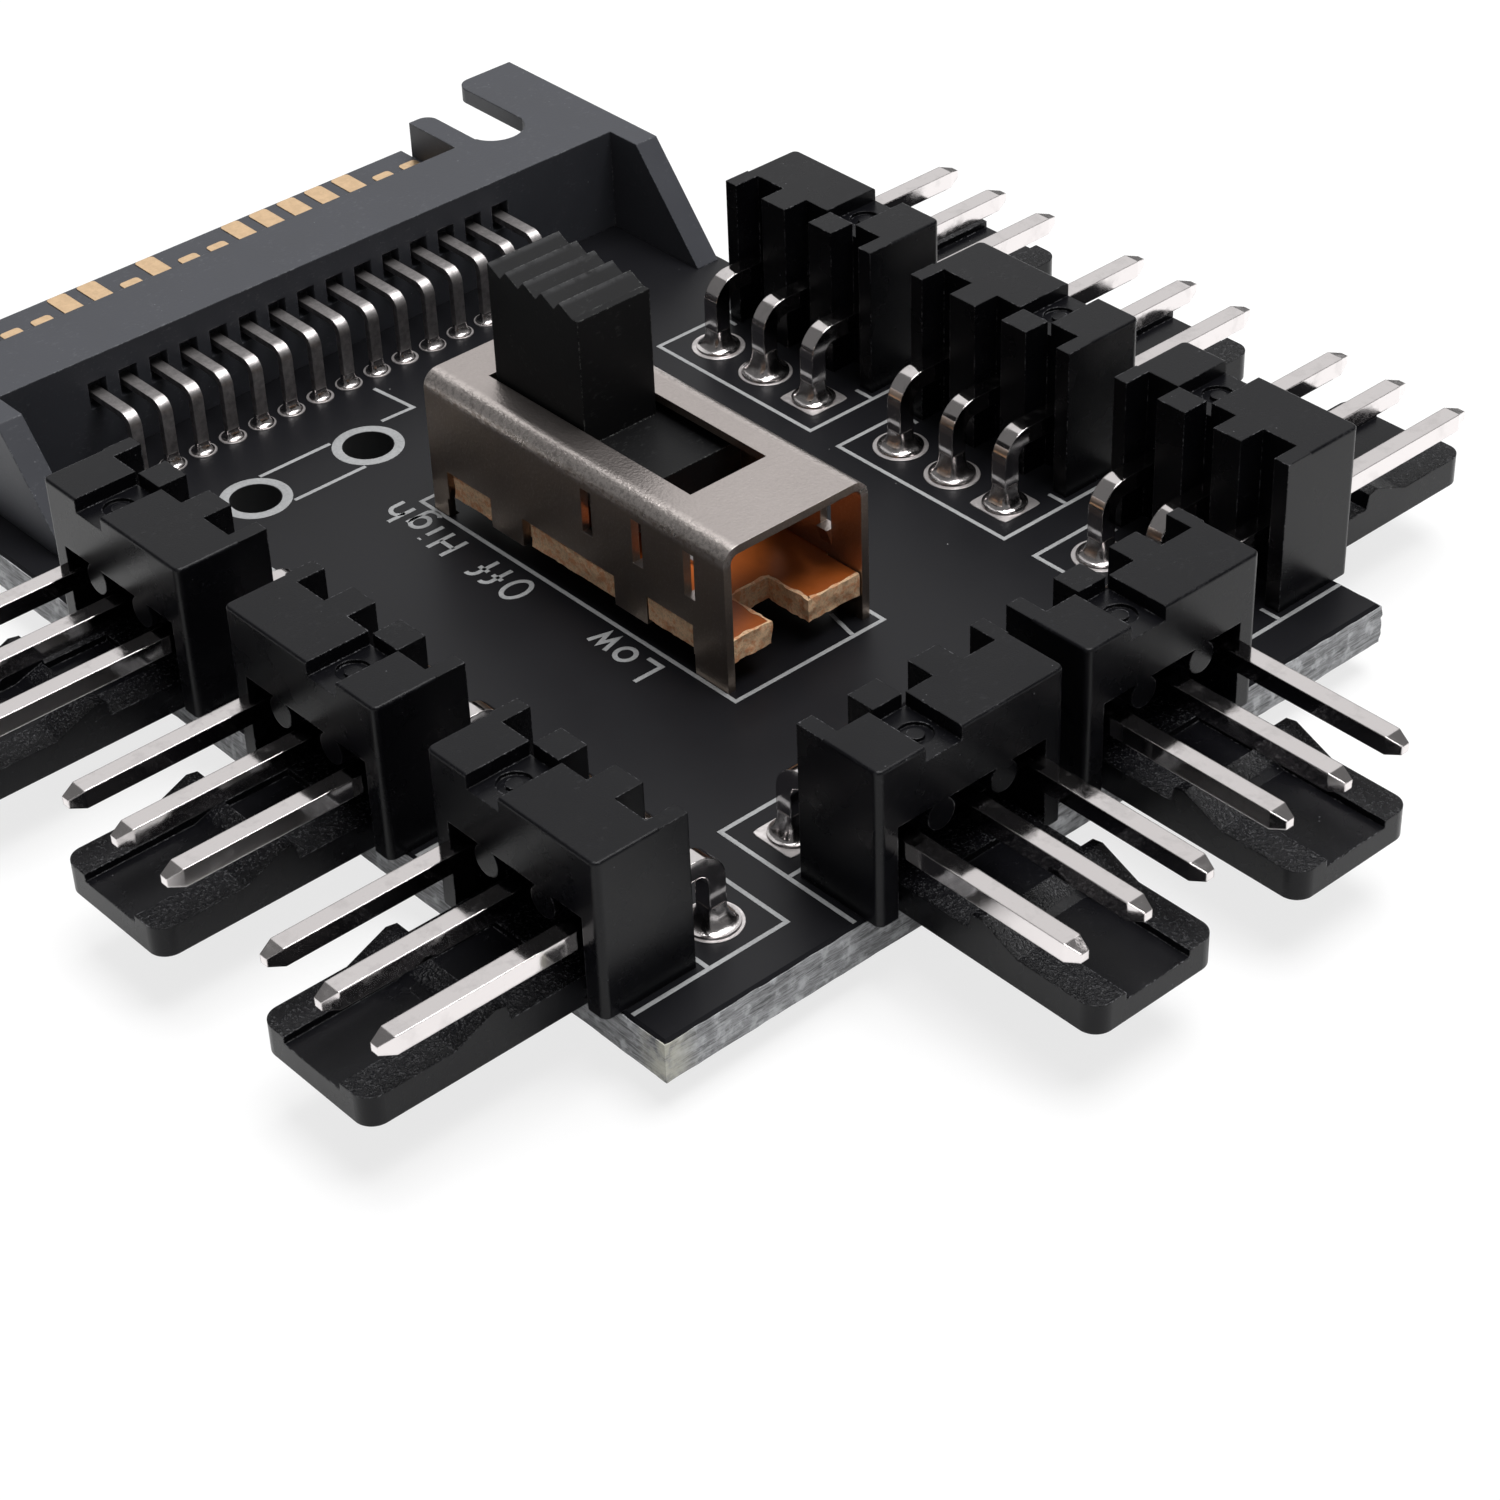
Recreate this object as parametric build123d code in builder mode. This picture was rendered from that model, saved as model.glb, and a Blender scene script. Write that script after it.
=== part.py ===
"""Fan controller hub: a small circuit board that carries eight fan headers, a fifteen-contact
power plug and a three-position slide switch. Millimetres, +Z up, standing on its solder tails."""

from build123d import *
from math import atan, degrees
import os

# Circuit board. Positions on it are given from the plug end, which is at -X, or from an edge.
board_length = 38.5
board_width = 30.6
board_thickness = 1.6
edge_bevel = 0.12
tail_length = 1.0           # how far solder tails stand out below the board
contact_tail_length = 0.8

# Fan headers: places of their centres along the board's edges
row_count = 3               # headers in each row on a long edge
end_count = 2
turned_right = 2            # number of the header in each row that stands with its slot to the other side
turned_left = 3
right_row_start = 5.57      # from the +X edge to the last header of the row on the -Y edge
right_row_pitch = 9.93
left_row_start = 5.7        # the same for the row on the +Y edge
left_row_pitch = 9.52
end_row_pitch = 8.46
end_row_shift = 0.37        # the pair on the +X edge stands this far off centre

# Fan header housing. v is measured outward from the board's edge and u along it.
header_width = 7.5
header_height = 5.62
block_overhang = 0.615      # front face beyond the board's edge
block_depth = 2.33
rib_depth = 1.05
rib_spans = [(0.0, 0.6), (2.0, 3.15), (4.4, 5.6), (6.95, 7.5)]     # from the -u side
front_corner_radius = 0.25
top_edge_radius = 0.1
recess_width = 6.0
recess_height = 3.35
recess_depth = 1.9
boss_diameter = 1.06
boss_pitch = 2.54
boss_height = 2.9
slot_start = 1.85           # shallow slot across the top, from one side
slot_width = 1.45
slot_depth = 0.5
pit_diameter = 1.1
pit_depth = 0.12
tongue_reach = 8.0          # tip of the tongue beyond the board's edge
tongue_width = 5.0
tongue_top = 0.75           # above the board
tongue_thickness = 1.05
tongue_board_clearance = 0.02
tongue_corner_radius = 0.62
channel_width = 2.6
channel_depth = 0.25
bump_start = 2.95           # the lock bump: a steep step, a short crown, then a ramp towards the tip
bump_end = 4.9
bump_step_run = 0.1
bump_step = 0.54
bump_crown = 0.62
bump_crown_at = 3.45
channel_bump = 0.35         # the same bump between the rails
channel_bump_end = 4.1

# Fan header pins
pins_per_header = 3
pin_pitch = 2.54
pin_width = 0.64
pin_height = 2.505          # centre line above the board
pin_reach = 7.54            # tip beyond the board's edge
pin_setback = 4.45          # upright leg inside the board's edge
pin_bend_radius = 0.75
pin_point_length = 0.52
pin_point_width = 0.3
tail_point_length = 0.3
tail_point_width = 0.4
pin_hole_diameter = 1.0

# Power plug, measured outward or inward from the board's plug end
plug_arm_reach = 5.6
plug_tongue_reach = 5.3
plug_key_reach = 4.3
plug_face_reach = 1.45      # mouth side of the plug's body
plug_wall_inset = 1.7       # its rear wall, above the board
plug_width = 29.03
plug_shift = 0.495          # the housing stands this far to +Y of the board's centre line
plug_height = 4.0           # above the board
plug_drop = 2.0             # below the board's top, past its end
plug_board_clearance = 0.05
plug_arm_width = 2.6
plug_arm_thickness = 0.6
plug_arm_tip_radius = 0.6
plug_arm_outer_radius = 0.3
plug_slot_width = 2.3       # between the key leg and the arm beside it
plug_slot_depth = 0.85      # its round bottom, behind the mouth face
plug_pocket_depth = 1.3     # hollow of the mouth under the arm and the slot
plug_key_width = 0.95
plug_key_tip_radius = 0.5
plug_tongue_margin = 0.1    # tongue beyond the outermost contact blade
plug_tongue_thickness = 1.25
plug_tongue_round = 0.3
gusset_thickness = 1.0
gusset_top_inset = 3.2
gusset_foot_inset = 6.5
peg_diameter = 1.4
peg_length = 1.3
peg_clearance = 0.06
peg_inset = 0.85
peg_margin = 2.6            # peg centre from the housing's side

# Plug contacts
contact_count = 15
contact_pitch = 1.27
contact_row_shift = -0.31   # middle of the row from the board's centre line
contact_height = 2.6        # top face above the board
contact_proud = 0.03
contact_thickness = 0.25
blade_width = 0.8
blade_corner_radius = 0.15
long_blade_inset = 0.35     # blade's end from the tongue's tip
short_blade_inset = 1.25
long_blades = [3, 4, 5, 6, 7, 10, 12, 13]     # counted from the key's side
blade_back = 0.9            # blade's end inside the body, behind its mouth face
lead_width = 0.45
lead_setback = 3.8          # upright part of the lead, inside the board's end
lead_bend_radius = 0.4
lead_hole_diameter = 0.7
comb_width = 0.75           # recess in the rear wall round each lead
comb_low = 2.0
comb_high = 3.05
comb_depth = 0.5

# Two plain through holes
plain_hole_count = 2
plain_hole_diameter = 1.78
plain_hole_pitch = 4.82
plain_hole_inset = 7.63
plain_hole_y = -4.74

# Slide switch shell
switch_inset = 19.95        # middle of the switch from the plug end
switch_y = -0.04
shell_length = 15.02
shell_width = 6.1
shell_height = 5.35
sheet = 0.3
shell_bend_radius = 0.6
shell_skirt_height = 0.75   # lower edge of the sides above the board
leg_widths = (0.76, 1.56)   # legs at the -X and the +X end
prong_width = 0.7
prong_depth = 2.3           # below the board's top
prong_clearance = 0.1
# Notches in the sides: start and end from the middle, and the open stretch before the base's tab
side_notches = [(-6.65, -4.3, 0.35), (-2.65, 2.05, 0.45), (3.65, 5.9, 0.05)]
slit_width = 0.5
slit_low = 2.86
slit_high = 4.54
lug_depth = 0.2
lug_height = 0.6

# Slider and its travel
knob_shift = -3.22          # middle of the knob at rest, from the middle of the switch
knob_length = 4.54
knob_width = 3.0
knob_top = 9.65             # crests of the grip above the board
knob_end_clearance = 0.3
knob_side_clearance = 0.1
tooth_count = 5
tooth_depth = 0.33
tooth_slope_share = 0.68
slide_step = 2.5
slide_steps = 2
carriage_tail = 2.9         # ends of the carriage from the middle of the knob
carriage_nose = 5.4
carriage_top = 4.65
carriage_low = 3.1
carriage_side_clearance = 0.35

# Base plate and terminals
base_low = 0.95
base_high = 1.8
base_clearance = 0.05
base_end_inset = 0.15
base_tab_clearance = 0.03
base_notch_width = 1.7
base_notch_depth = 1.9
base_notch_shift = -0.3
terminal_tail_length = 0.8
terminal_width = 0.8
terminal_thickness = 0.4
terminal_head = 1.5
terminal_head_height = 0.15
terminal_hole_diameter = 1.1

# Bridge contact and detent spring
clip_thickness = 0.15
clip_width = 1.6
clip_land = 0.8
clip_crown = 0.8
clip_clearance = 0.03
spring_thickness = 0.12
spring_height = 0.7
spring_half_span = 0.9
spring_place = 4.05         # middle of the spring from the middle of the knob
spring_end_clearance = 0.1
spring_seat_clearance = 0.02
spring_pocket_depth = 0.5
spring_wall_clearance = 0.08

# Heights and the board's ends, from the sizes above. X = 0 is midway between the tips.
board_under = tail_length
board_top = board_under + board_thickness
board_left = plug_arm_reach - (plug_arm_reach + board_length + tongue_reach) / 2
board_right = board_left + board_length
half_width = board_width / 2
switch_x = board_left + switch_inset
slide_travel = slide_step * slide_steps
contact_first_y = contact_row_shift + contact_pitch * (contact_count - 1) / 2
lead_x = board_left + lead_setback
plug_right = plug_shift - plug_width / 2
plug_left = plug_shift + plug_width / 2
peg_x = board_left + peg_inset
peg_ys = (plug_right + peg_margin, plug_left - peg_margin)
knob_x = switch_x + knob_shift
terminal_xs = [knob_x + slide_step * (i - 0.5) for i in range(slide_steps + 2)]
slit_xs = [knob_x + spring_place + slide_step * i for i in range(slide_steps + 1)]
shell_inner_width = shell_width - 2 * sheet
carriage_width = shell_inner_width - 2 * carriage_side_clearance
shell_left = switch_x - shell_length / 2
shell_right = switch_x + shell_length / 2
prong_xs = (shell_left + leg_widths[0] / 2, shell_right - leg_widths[1] / 2)
prong_ys = (switch_y - shell_width / 2 + sheet / 2, switch_y + shell_width / 2 - sheet / 2)


def edge_plane(x, y, turn):
    """Plane on the board's top at its edge: x outward, y along the edge, z up."""
    return Plane(origin=(x, y, board_top), x_dir=Vector(1, 0, 0).rotate(Axis.Z, turn), z_dir=(0, 0, 1))


def side_plane(edge, u=0.0):
    """Upright plane square to the edge, at u along it: x outward, y up."""
    return Plane(origin=edge.origin + edge.y_dir * u, x_dir=edge.x_dir, z_dir=-edge.y_dir)


def front_plane(edge, v):
    """Upright plane along the edge, at v outward, facing out: x along the edge, y up."""
    return Plane(origin=edge.origin + edge.x_dir * v, x_dir=edge.y_dir, z_dir=edge.x_dir)


# name, plane and the side on which the housing's top slot lies
headers = []
for number in range(1, row_count + 1):
    right_x = board_right - right_row_start - right_row_pitch * (row_count - number)
    left_x = board_right - left_row_start - left_row_pitch * (row_count - number)
    right_slot = 1 if number == turned_right else -1
    left_slot = 1 if number == turned_left else -1
    headers.append((f"right_header_{number}", edge_plane(right_x, -half_width, -90), right_slot))
    headers.append((f"left_header_{number}", edge_plane(left_x, half_width, 90), left_slot))
for number in range(1, end_count + 1):
    end_y = end_row_shift + end_row_pitch * (number - (end_count + 1) / 2)
    headers.append((f"end_header_{number}", edge_plane(board_right, end_y, 0), -1))

pin_places = [pin_pitch * (i - (pins_per_header - 1) / 2) for i in range(pins_per_header)]
finished = []


def keep(part, label):
    part.part.label = label
    finished.append(part.part)


def build_board():
    """The board with its bevelled edges and every drilled hole and slot."""
    with BuildPart() as board:
        with BuildSketch(Plane.XY.offset(board_under)):
            with Locations((board_left + board_length / 2, 0)):
                Rectangle(board_length, board_width)
        extrude(amount=board_thickness)
        rims = board.faces().sort_by(Axis.Z)
        chamfer(rims[0].edges() + rims[-1].edges(), edge_bevel)
        with BuildSketch(Plane.XY.offset(board_under)):
            for _, edge, _ in headers:
                for u in pin_places:
                    spot = edge.origin - edge.x_dir * pin_setback + edge.y_dir * u
                    with Locations((spot.X, spot.Y)):
                        Circle(pin_hole_diameter / 2)
            with Locations((lead_x, contact_row_shift)):
                with GridLocations(0, contact_pitch, 1, contact_count):
                    Circle(lead_hole_diameter / 2)
            with Locations(*[(x, switch_y) for x in terminal_xs]):
                Circle(terminal_hole_diameter / 2)
            with Locations(*[(x, y) for x in prong_xs for y in prong_ys]):
                Rectangle(prong_width + 2 * prong_clearance, sheet + 2 * prong_clearance)
            with Locations(*[(peg_x, y) for y in peg_ys]):
                Circle(peg_diameter / 2 + peg_clearance)
            with Locations((board_left + plain_hole_inset, plain_hole_y)):
                with GridLocations(0, plain_hole_pitch, 1, plain_hole_count):
                    Circle(plain_hole_diameter / 2)
        extrude(amount=board_thickness, mode=Mode.SUBTRACT)
    keep(board, "circuit_board")


def build_header(label, edge, slot_side):
    """Housing: ribbed block, deep front recess with two bosses, and the locking tongue below it."""
    side = side_plane(edge)
    outward = Axis(edge.origin, edge.x_dir)
    wall_v = block_overhang - recess_depth
    back_v = block_overhang - block_depth
    tongue_low = tongue_top - tongue_thickness
    step_v = bump_start + bump_step_run
    channel_floor = tongue_top - channel_depth
    above_bump = tongue_top + 2 * bump_crown
    with BuildPart() as header:
        with BuildSketch(edge):
            with Locations((block_overhang - block_depth / 2, 0)):
                Rectangle(block_depth, header_width)
        extrude(amount=header_height)
        fillet(header.edges().filter_by(Axis.Z).group_by(outward)[-1], front_corner_radius)
        fillet(header.faces().sort_by(Axis.Z)[-1].edges().group_by(outward)[1:], top_edge_radius)
        with BuildSketch(edge):
            for low, high in rib_spans:
                with Locations((back_v - rib_depth / 2, (low + high - header_width) / 2)):
                    Rectangle(rib_depth, high - low)
        extrude(amount=header_height)
        with BuildSketch(front_plane(edge, block_overhang)):
            with Locations((0, recess_height / 2)):
                Rectangle(recess_width, recess_height)
            with Locations((-boss_pitch / 2, boss_height), (boss_pitch / 2, boss_height)):
                Circle(boss_diameter / 2, mode=Mode.SUBTRACT)
        extrude(amount=-recess_depth, mode=Mode.SUBTRACT)
        with BuildSketch(side):
            with BuildLine():
                Polyline((wall_v, 0), (wall_v, tongue_top), (bump_start, tongue_top),
                         (step_v, tongue_top + bump_step), (bump_crown_at, tongue_top + bump_crown),
                         (bump_end, tongue_top), (tongue_reach, tongue_top), (tongue_reach, tongue_low),
                         (tongue_board_clearance, tongue_low), (tongue_board_clearance, 0), close=True)
            make_face()
        extrude(amount=tongue_width / 2, both=True)
        fillet(header.edges().filter_by(Axis.Z).group_by(outward)[-1], tongue_corner_radius)
        with BuildSketch(side):
            with BuildLine():
                Polyline((block_overhang, channel_floor), (bump_start, channel_floor),
                         (step_v, channel_floor + channel_bump), (channel_bump_end, channel_floor),
                         (tongue_reach, channel_floor), (tongue_reach, above_bump),
                         (block_overhang, above_bump), close=True)
            make_face()
        extrude(amount=channel_width / 2, both=True, mode=Mode.SUBTRACT)
        slot_u = slot_side * (header_width / 2 - slot_start - slot_width / 2)
        with BuildSketch(edge.offset(header_height)):
            with Locations((block_overhang - block_depth / 2, slot_u)):
                Rectangle(block_depth, slot_width)
        extrude(amount=-slot_depth, mode=Mode.SUBTRACT)
        with BuildSketch(edge.offset(header_height - slot_depth)):
            with Locations((block_overhang - block_depth / 2, slot_u)):
                Circle(pit_diameter / 2)
                Circle(pit_diameter / 4, mode=Mode.SUBTRACT)
        extrude(amount=-pit_depth, mode=Mode.SUBTRACT)
        with BuildSketch(front_plane(edge, back_v)):
            with Locations(*[(u, pin_height) for u in pin_places]):
                Rectangle(pin_width, pin_width)
        extrude(amount=block_depth, mode=Mode.SUBTRACT)
    keep(header, label)


def build_pin(label, edge, u):
    """Square wire bent down behind the housing, with a pyramid point at each end."""
    side = side_plane(edge, u)
    tail_v = -pin_setback
    low = -board_thickness - tail_length + tail_point_length
    tip_taper = degrees(atan((pin_width - pin_point_width) / 2 / pin_point_length))
    tail_taper = degrees(atan((pin_width - tail_point_width) / 2 / tail_point_length))
    with BuildPart() as pin:
        with BuildLine(side) as route:
            FilletPolyline((pin_reach - pin_point_length, pin_height), (tail_v, pin_height), (tail_v, low),
                           radius=pin_bend_radius)
        tip = Plane(origin=route.line @ 0, x_dir=edge.y_dir, z_dir=edge.x_dir)
        tail = Plane(origin=route.line @ 1, x_dir=edge.y_dir, z_dir=(0, 0, -1))
        with BuildSketch(tip):
            Rectangle(pin_width, pin_width)
        sweep()
        with BuildSketch(tip):
            Rectangle(pin_width, pin_width)
        extrude(amount=pin_point_length, taper=tip_taper)
        with BuildSketch(tail):
            Rectangle(pin_width, pin_width)
        extrude(amount=tail_point_length, taper=tail_taper)
    keep(pin, label)


def plug_profile():
    """Body of the plug seen along Y: it sits on the board and hangs past its end."""
    face_x = board_left - plug_face_reach
    wall_x = board_left + plug_wall_inset
    lip_x = board_left - plug_board_clearance
    Polyline((wall_x, board_top), (wall_x, board_top + plug_height), (face_x, board_top + plug_height),
             (face_x, board_top - plug_drop), (lip_x, board_top - plug_drop), (lip_x, board_top),
             (wall_x, board_top))


def build_plug():
    """Housing: body, contact tongue with its key leg, two guide arms and two end gussets."""
    face_x = board_left - plug_face_reach
    wall_x = board_left + plug_wall_inset
    contact_top = board_top + contact_height
    contact_low = contact_top - contact_thickness
    tongue_high = contact_top - contact_proud
    tongue_low = tongue_high - plug_tongue_thickness
    half_row = contact_pitch * (contact_count - 1) / 2 + blade_width / 2 + plug_tongue_margin
    tongue_right = contact_row_shift - half_row
    tongue_left = contact_row_shift + half_row
    key_left = tongue_left + plug_key_width
    key_tip = board_left - plug_key_reach
    arm_left = key_left + plug_slot_width
    arm_tip = board_left - plug_arm_reach
    arm_low = board_top + plug_height - plug_arm_thickness
    pocket_end = plug_left - gusset_thickness
    slot_round = plug_slot_width / 2
    with BuildPart() as plug:
        with BuildSketch(Plane.XZ.offset(-plug_shift)):
            with BuildLine():
                plug_profile()
            make_face()
        extrude(amount=plug_width / 2, both=True)
        with BuildSketch(Plane.XY.offset(tongue_low)):
            with BuildLine():
                Polyline((face_x, tongue_right), (board_left - plug_tongue_reach, tongue_right),
                         (board_left - plug_tongue_reach, tongue_left), (face_x, tongue_left), close=True)
            make_face()
        extrude(amount=tongue_high - tongue_low)
        chamfer(plug.edges().filter_by(Axis.Y).group_by(Axis.X)[0], plug_tongue_round)
        with BuildSketch(Plane.XY.offset(tongue_low)):
            with Locations(((face_x + key_tip) / 2, tongue_left + plug_key_width / 2)):
                leg = Rectangle(face_x - key_tip, plug_key_width)
            fillet(leg.vertices().group_by(Axis.X)[0].sort_by(Axis.Y)[-1], plug_key_tip_radius)
        extrude(amount=board_top + plug_height - tongue_low)
        with BuildSketch(Plane.XY.offset(board_top - plug_drop)):
            with Locations((face_x + plug_pocket_depth / 2, (key_left + pocket_end) / 2)):
                Rectangle(plug_pocket_depth, pocket_end - key_left)
        extrude(amount=arm_low - board_top + plug_drop, mode=Mode.SUBTRACT)
        with BuildSketch(Plane.XY.offset(arm_low)):
            for outer, inner in ((plug_left, arm_left), (plug_right, plug_right + plug_arm_width)):
                with Locations(((arm_tip + face_x) / 2, (outer + inner) / 2)):
                    arm = Rectangle(face_x - arm_tip, abs(outer - inner))
                tip_corners = arm.vertices().group_by(Axis.X)[0].sort_by(Axis.Y)
                inner_corner = tip_corners[0] if inner < outer else tip_corners[-1]
                outer_corner = tip_corners[-1] if inner < outer else tip_corners[0]
                fillet(inner_corner, plug_arm_tip_radius)
                fillet(outer_corner, plug_arm_outer_radius)
        extrude(amount=plug_arm_thickness)
        with BuildSketch(Plane.XY.offset(tongue_low)):
            with Locations((face_x + plug_slot_depth - slot_round, key_left + slot_round)):
                Circle(slot_round)
        extrude(amount=plug_height + plug_drop, mode=Mode.SUBTRACT)
        for gusset_y in (plug_right, plug_left - gusset_thickness):
            with BuildSketch(Plane.XZ.offset(-gusset_y)):
                with BuildLine():
                    Polyline((wall_x, board_top), (wall_x, board_top + plug_height),
                             (board_left + gusset_top_inset, board_top + plug_height),
                             (board_left + gusset_foot_inset, board_top), close=True)
                make_face()
            extrude(amount=-gusset_thickness)
        with BuildSketch(Plane.XY.offset(board_top)):
            with Locations(*[(peg_x, y) for y in peg_ys]):
                Circle(peg_diameter / 2)
        extrude(amount=-peg_length)
        with BuildSketch(Plane.YZ.offset(face_x + blade_back)):
            with Locations((contact_row_shift, (contact_low + contact_top) / 2)):
                with GridLocations(contact_pitch, 0, contact_count, 1):
                    Rectangle(lead_width, contact_thickness)
        extrude(amount=wall_x - face_x, mode=Mode.SUBTRACT)
        with BuildSketch(Plane.YZ.offset(wall_x)):
            with Locations((contact_row_shift, board_top + (comb_low + comb_high) / 2)):
                with GridLocations(contact_pitch, 0, contact_count, 1):
                    Rectangle(comb_width, comb_high - comb_low)
        extrude(amount=-comb_depth, mode=Mode.SUBTRACT)
        for number in range(1, contact_count + 1):
            inset = long_blade_inset if number in long_blades else short_blade_inset
            blade_tip = board_left - plug_tongue_reach + inset
            blade_end = face_x + blade_back
            with BuildSketch(Plane.XY.offset(contact_low)):
                with Locations(((blade_tip + blade_end) / 2, contact_first_y - contact_pitch * (number - 1))):
                    RectangleRounded(blade_end - blade_tip, blade_width, blade_corner_radius)
            extrude(amount=contact_thickness, mode=Mode.SUBTRACT)
    keep(plug, "plug_housing")


def build_contact(number):
    """A flat blade in the tongue's groove, narrowed to a lead that bends down into the board."""
    y = contact_first_y - contact_pitch * (number - 1)
    face_x = board_left - plug_face_reach
    contact_low = board_top + contact_height - contact_thickness
    inset = long_blade_inset if number in long_blades else short_blade_inset
    blade_tip = board_left - plug_tongue_reach + inset
    blade_end = face_x + blade_back
    centre_z = contact_low + contact_thickness / 2
    lead_low = board_under - contact_tail_length
    with BuildPart() as contact:
        with BuildLine(Plane.XZ.offset(-y)) as route:
            FilletPolyline((blade_end, centre_z), (lead_x, centre_z), (lead_x, lead_low),
                           radius=lead_bend_radius)
        with BuildSketch(Plane(origin=route.line @ 0, x_dir=(0, 1, 0), z_dir=(1, 0, 0))):
            Rectangle(lead_width, contact_thickness)
        sweep()
        with BuildSketch(Plane.XY.offset(contact_low)):
            with Locations(((blade_tip + blade_end) / 2, y)):
                RectangleRounded(blade_end - blade_tip, blade_width, blade_corner_radius)
        extrude(amount=contact_thickness)
    keep(contact, f"plug_contact_{number:02d}")


def build_shell():
    """Sheet-metal channel: rolled top edges, slot, side notches, slits with inward lips, and legs."""
    roof = board_top + shell_height
    half = (shell_width - sheet) / 2
    inner = shell_inner_width / 2
    middle = Plane.XZ.offset(-switch_y)
    with BuildPart() as shell:
        with BuildSketch(Plane.YZ.offset(shell_left)):
            with BuildLine():
                FilletPolyline((switch_y - half, board_top), (switch_y - half, roof - sheet / 2),
                               (switch_y + half, roof - sheet / 2), (switch_y + half, board_top),
                               radius=shell_bend_radius - sheet / 2)
            trace(line_width=sheet)
        extrude(amount=shell_length)
        with BuildSketch(middle):
            open_left = shell_left + leg_widths[0]
            open_right = shell_right - leg_widths[1]
            with Locations(((open_left + open_right) / 2, board_top + shell_skirt_height / 2)):
                Rectangle(open_right - open_left, shell_skirt_height)
            for low, high, _ in side_notches:
                with Locations((switch_x + (low + high) / 2, board_top + (base_high + base_clearance) / 2)):
                    Rectangle(high - low, base_high + base_clearance)
            for x in slit_xs:
                with Locations((x, board_top + (slit_low + slit_high) / 2)):
                    Rectangle(slit_width, slit_high - slit_low)
        extrude(amount=shell_width, both=True, mode=Mode.SUBTRACT)
        with BuildSketch(Plane.XY.offset(roof)):
            with Locations((knob_x + slide_travel / 2, switch_y)):
                Rectangle(knob_length + slide_travel + 2 * knob_end_clearance,
                          knob_width + 2 * knob_side_clearance)
        extrude(amount=-sheet, mode=Mode.SUBTRACT)
        for x in slit_xs:
            with BuildSketch(Plane.YZ.offset(x)):
                for side in (-1, 1):
                    wall_y = switch_y + side * inner
                    with BuildLine():
                        Polyline((wall_y, board_top + slit_low - lug_height), (wall_y, board_top + slit_low),
                                 (wall_y - side * lug_depth, board_top + slit_low), close=True)
                    make_face()
            extrude(amount=slit_width / 2, both=True)
        with BuildSketch(Plane.XY.offset(board_top)):
            with Locations(*[(x, y) for x in prong_xs for y in prong_ys]):
                Rectangle(prong_width, sheet)
        extrude(amount=-prong_depth)
    keep(shell, "switch_shell")


def build_base():
    """Base plate with a notch in each end, edge tabs in the shell's notches and terminal slots."""
    length = shell_length - 2 * base_end_inset
    with BuildPart() as base:
        with BuildSketch(Plane.XY.offset(board_top + base_low)):
            with Locations((switch_x, switch_y)):
                Rectangle(length, shell_inner_width - 2 * base_clearance)
            for low, high, gap in side_notches:
                start = low + gap
                end = high - base_tab_clearance
                with Locations((switch_x + (start + end) / 2, switch_y)):
                    Rectangle(end - start, shell_width - 2 * base_clearance)
            notch_reach = (length - base_notch_depth) / 2
            for notch_x in (switch_x - notch_reach, switch_x + notch_reach):
                with Locations((notch_x, switch_y + base_notch_shift)):
                    Rectangle(base_notch_depth, base_notch_width, mode=Mode.SUBTRACT)
            with Locations(*[(x, switch_y) for x in terminal_xs]):
                Rectangle(terminal_thickness, terminal_width, mode=Mode.SUBTRACT)
        extrude(amount=base_high - base_low)
    keep(base, "switch_base")


def build_terminal(number):
    """Flat contact head on the base plate and a leg down through the board."""
    x = terminal_xs[number - 1]
    head_low = board_top + base_high
    with BuildPart() as terminal:
        with BuildSketch(Plane.XY.offset(head_low)):
            with Locations((x, switch_y)):
                Rectangle(terminal_head, terminal_head)
        extrude(amount=terminal_head_height)
        fillet(terminal.edges().filter_by(Axis.Z), terminal_head / 4)
        with BuildSketch(Plane.XY.offset(head_low)):
            with Locations((x, switch_y)):
                Rectangle(terminal_thickness, terminal_width)
        extrude(amount=-(head_low - board_under + terminal_tail_length))
    keep(terminal, f"switch_terminal_{number}")


def build_slider():
    """Ribbed knob on a carriage that runs under the shell's roof, with a pocket for the spring."""
    low = board_top + carriage_low
    high = board_top + carriage_top
    crest = board_top + knob_top
    pitch = knob_length / tooth_count
    start = knob_x - knob_length / 2
    teeth = [(start, high)]
    for i in range(tooth_count):
        teeth.append((start + pitch * i, crest))
        teeth.append((start + pitch * (i + tooth_slope_share), crest - tooth_depth))
    teeth += [(start + knob_length, crest - tooth_depth), (start + knob_length, high)]
    with BuildPart() as slider:
        with BuildSketch(Plane.XY.offset(low)):
            with Locations((knob_x + (carriage_nose - carriage_tail) / 2, switch_y)):
                Rectangle(carriage_tail + carriage_nose, carriage_width)
            with Locations((knob_x + spring_place, switch_y - (carriage_width - spring_pocket_depth) / 2)):
                Rectangle(2 * (spring_half_span + spring_end_clearance), spring_pocket_depth,
                          mode=Mode.SUBTRACT)
        extrude(amount=high - low)
        with BuildSketch(Plane.XZ.offset(-switch_y)):
            with BuildLine():
                Polyline(*teeth, close=True)
            make_face()
        extrude(amount=knob_width / 2, both=True)
    keep(slider, "switch_slider")


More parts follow.
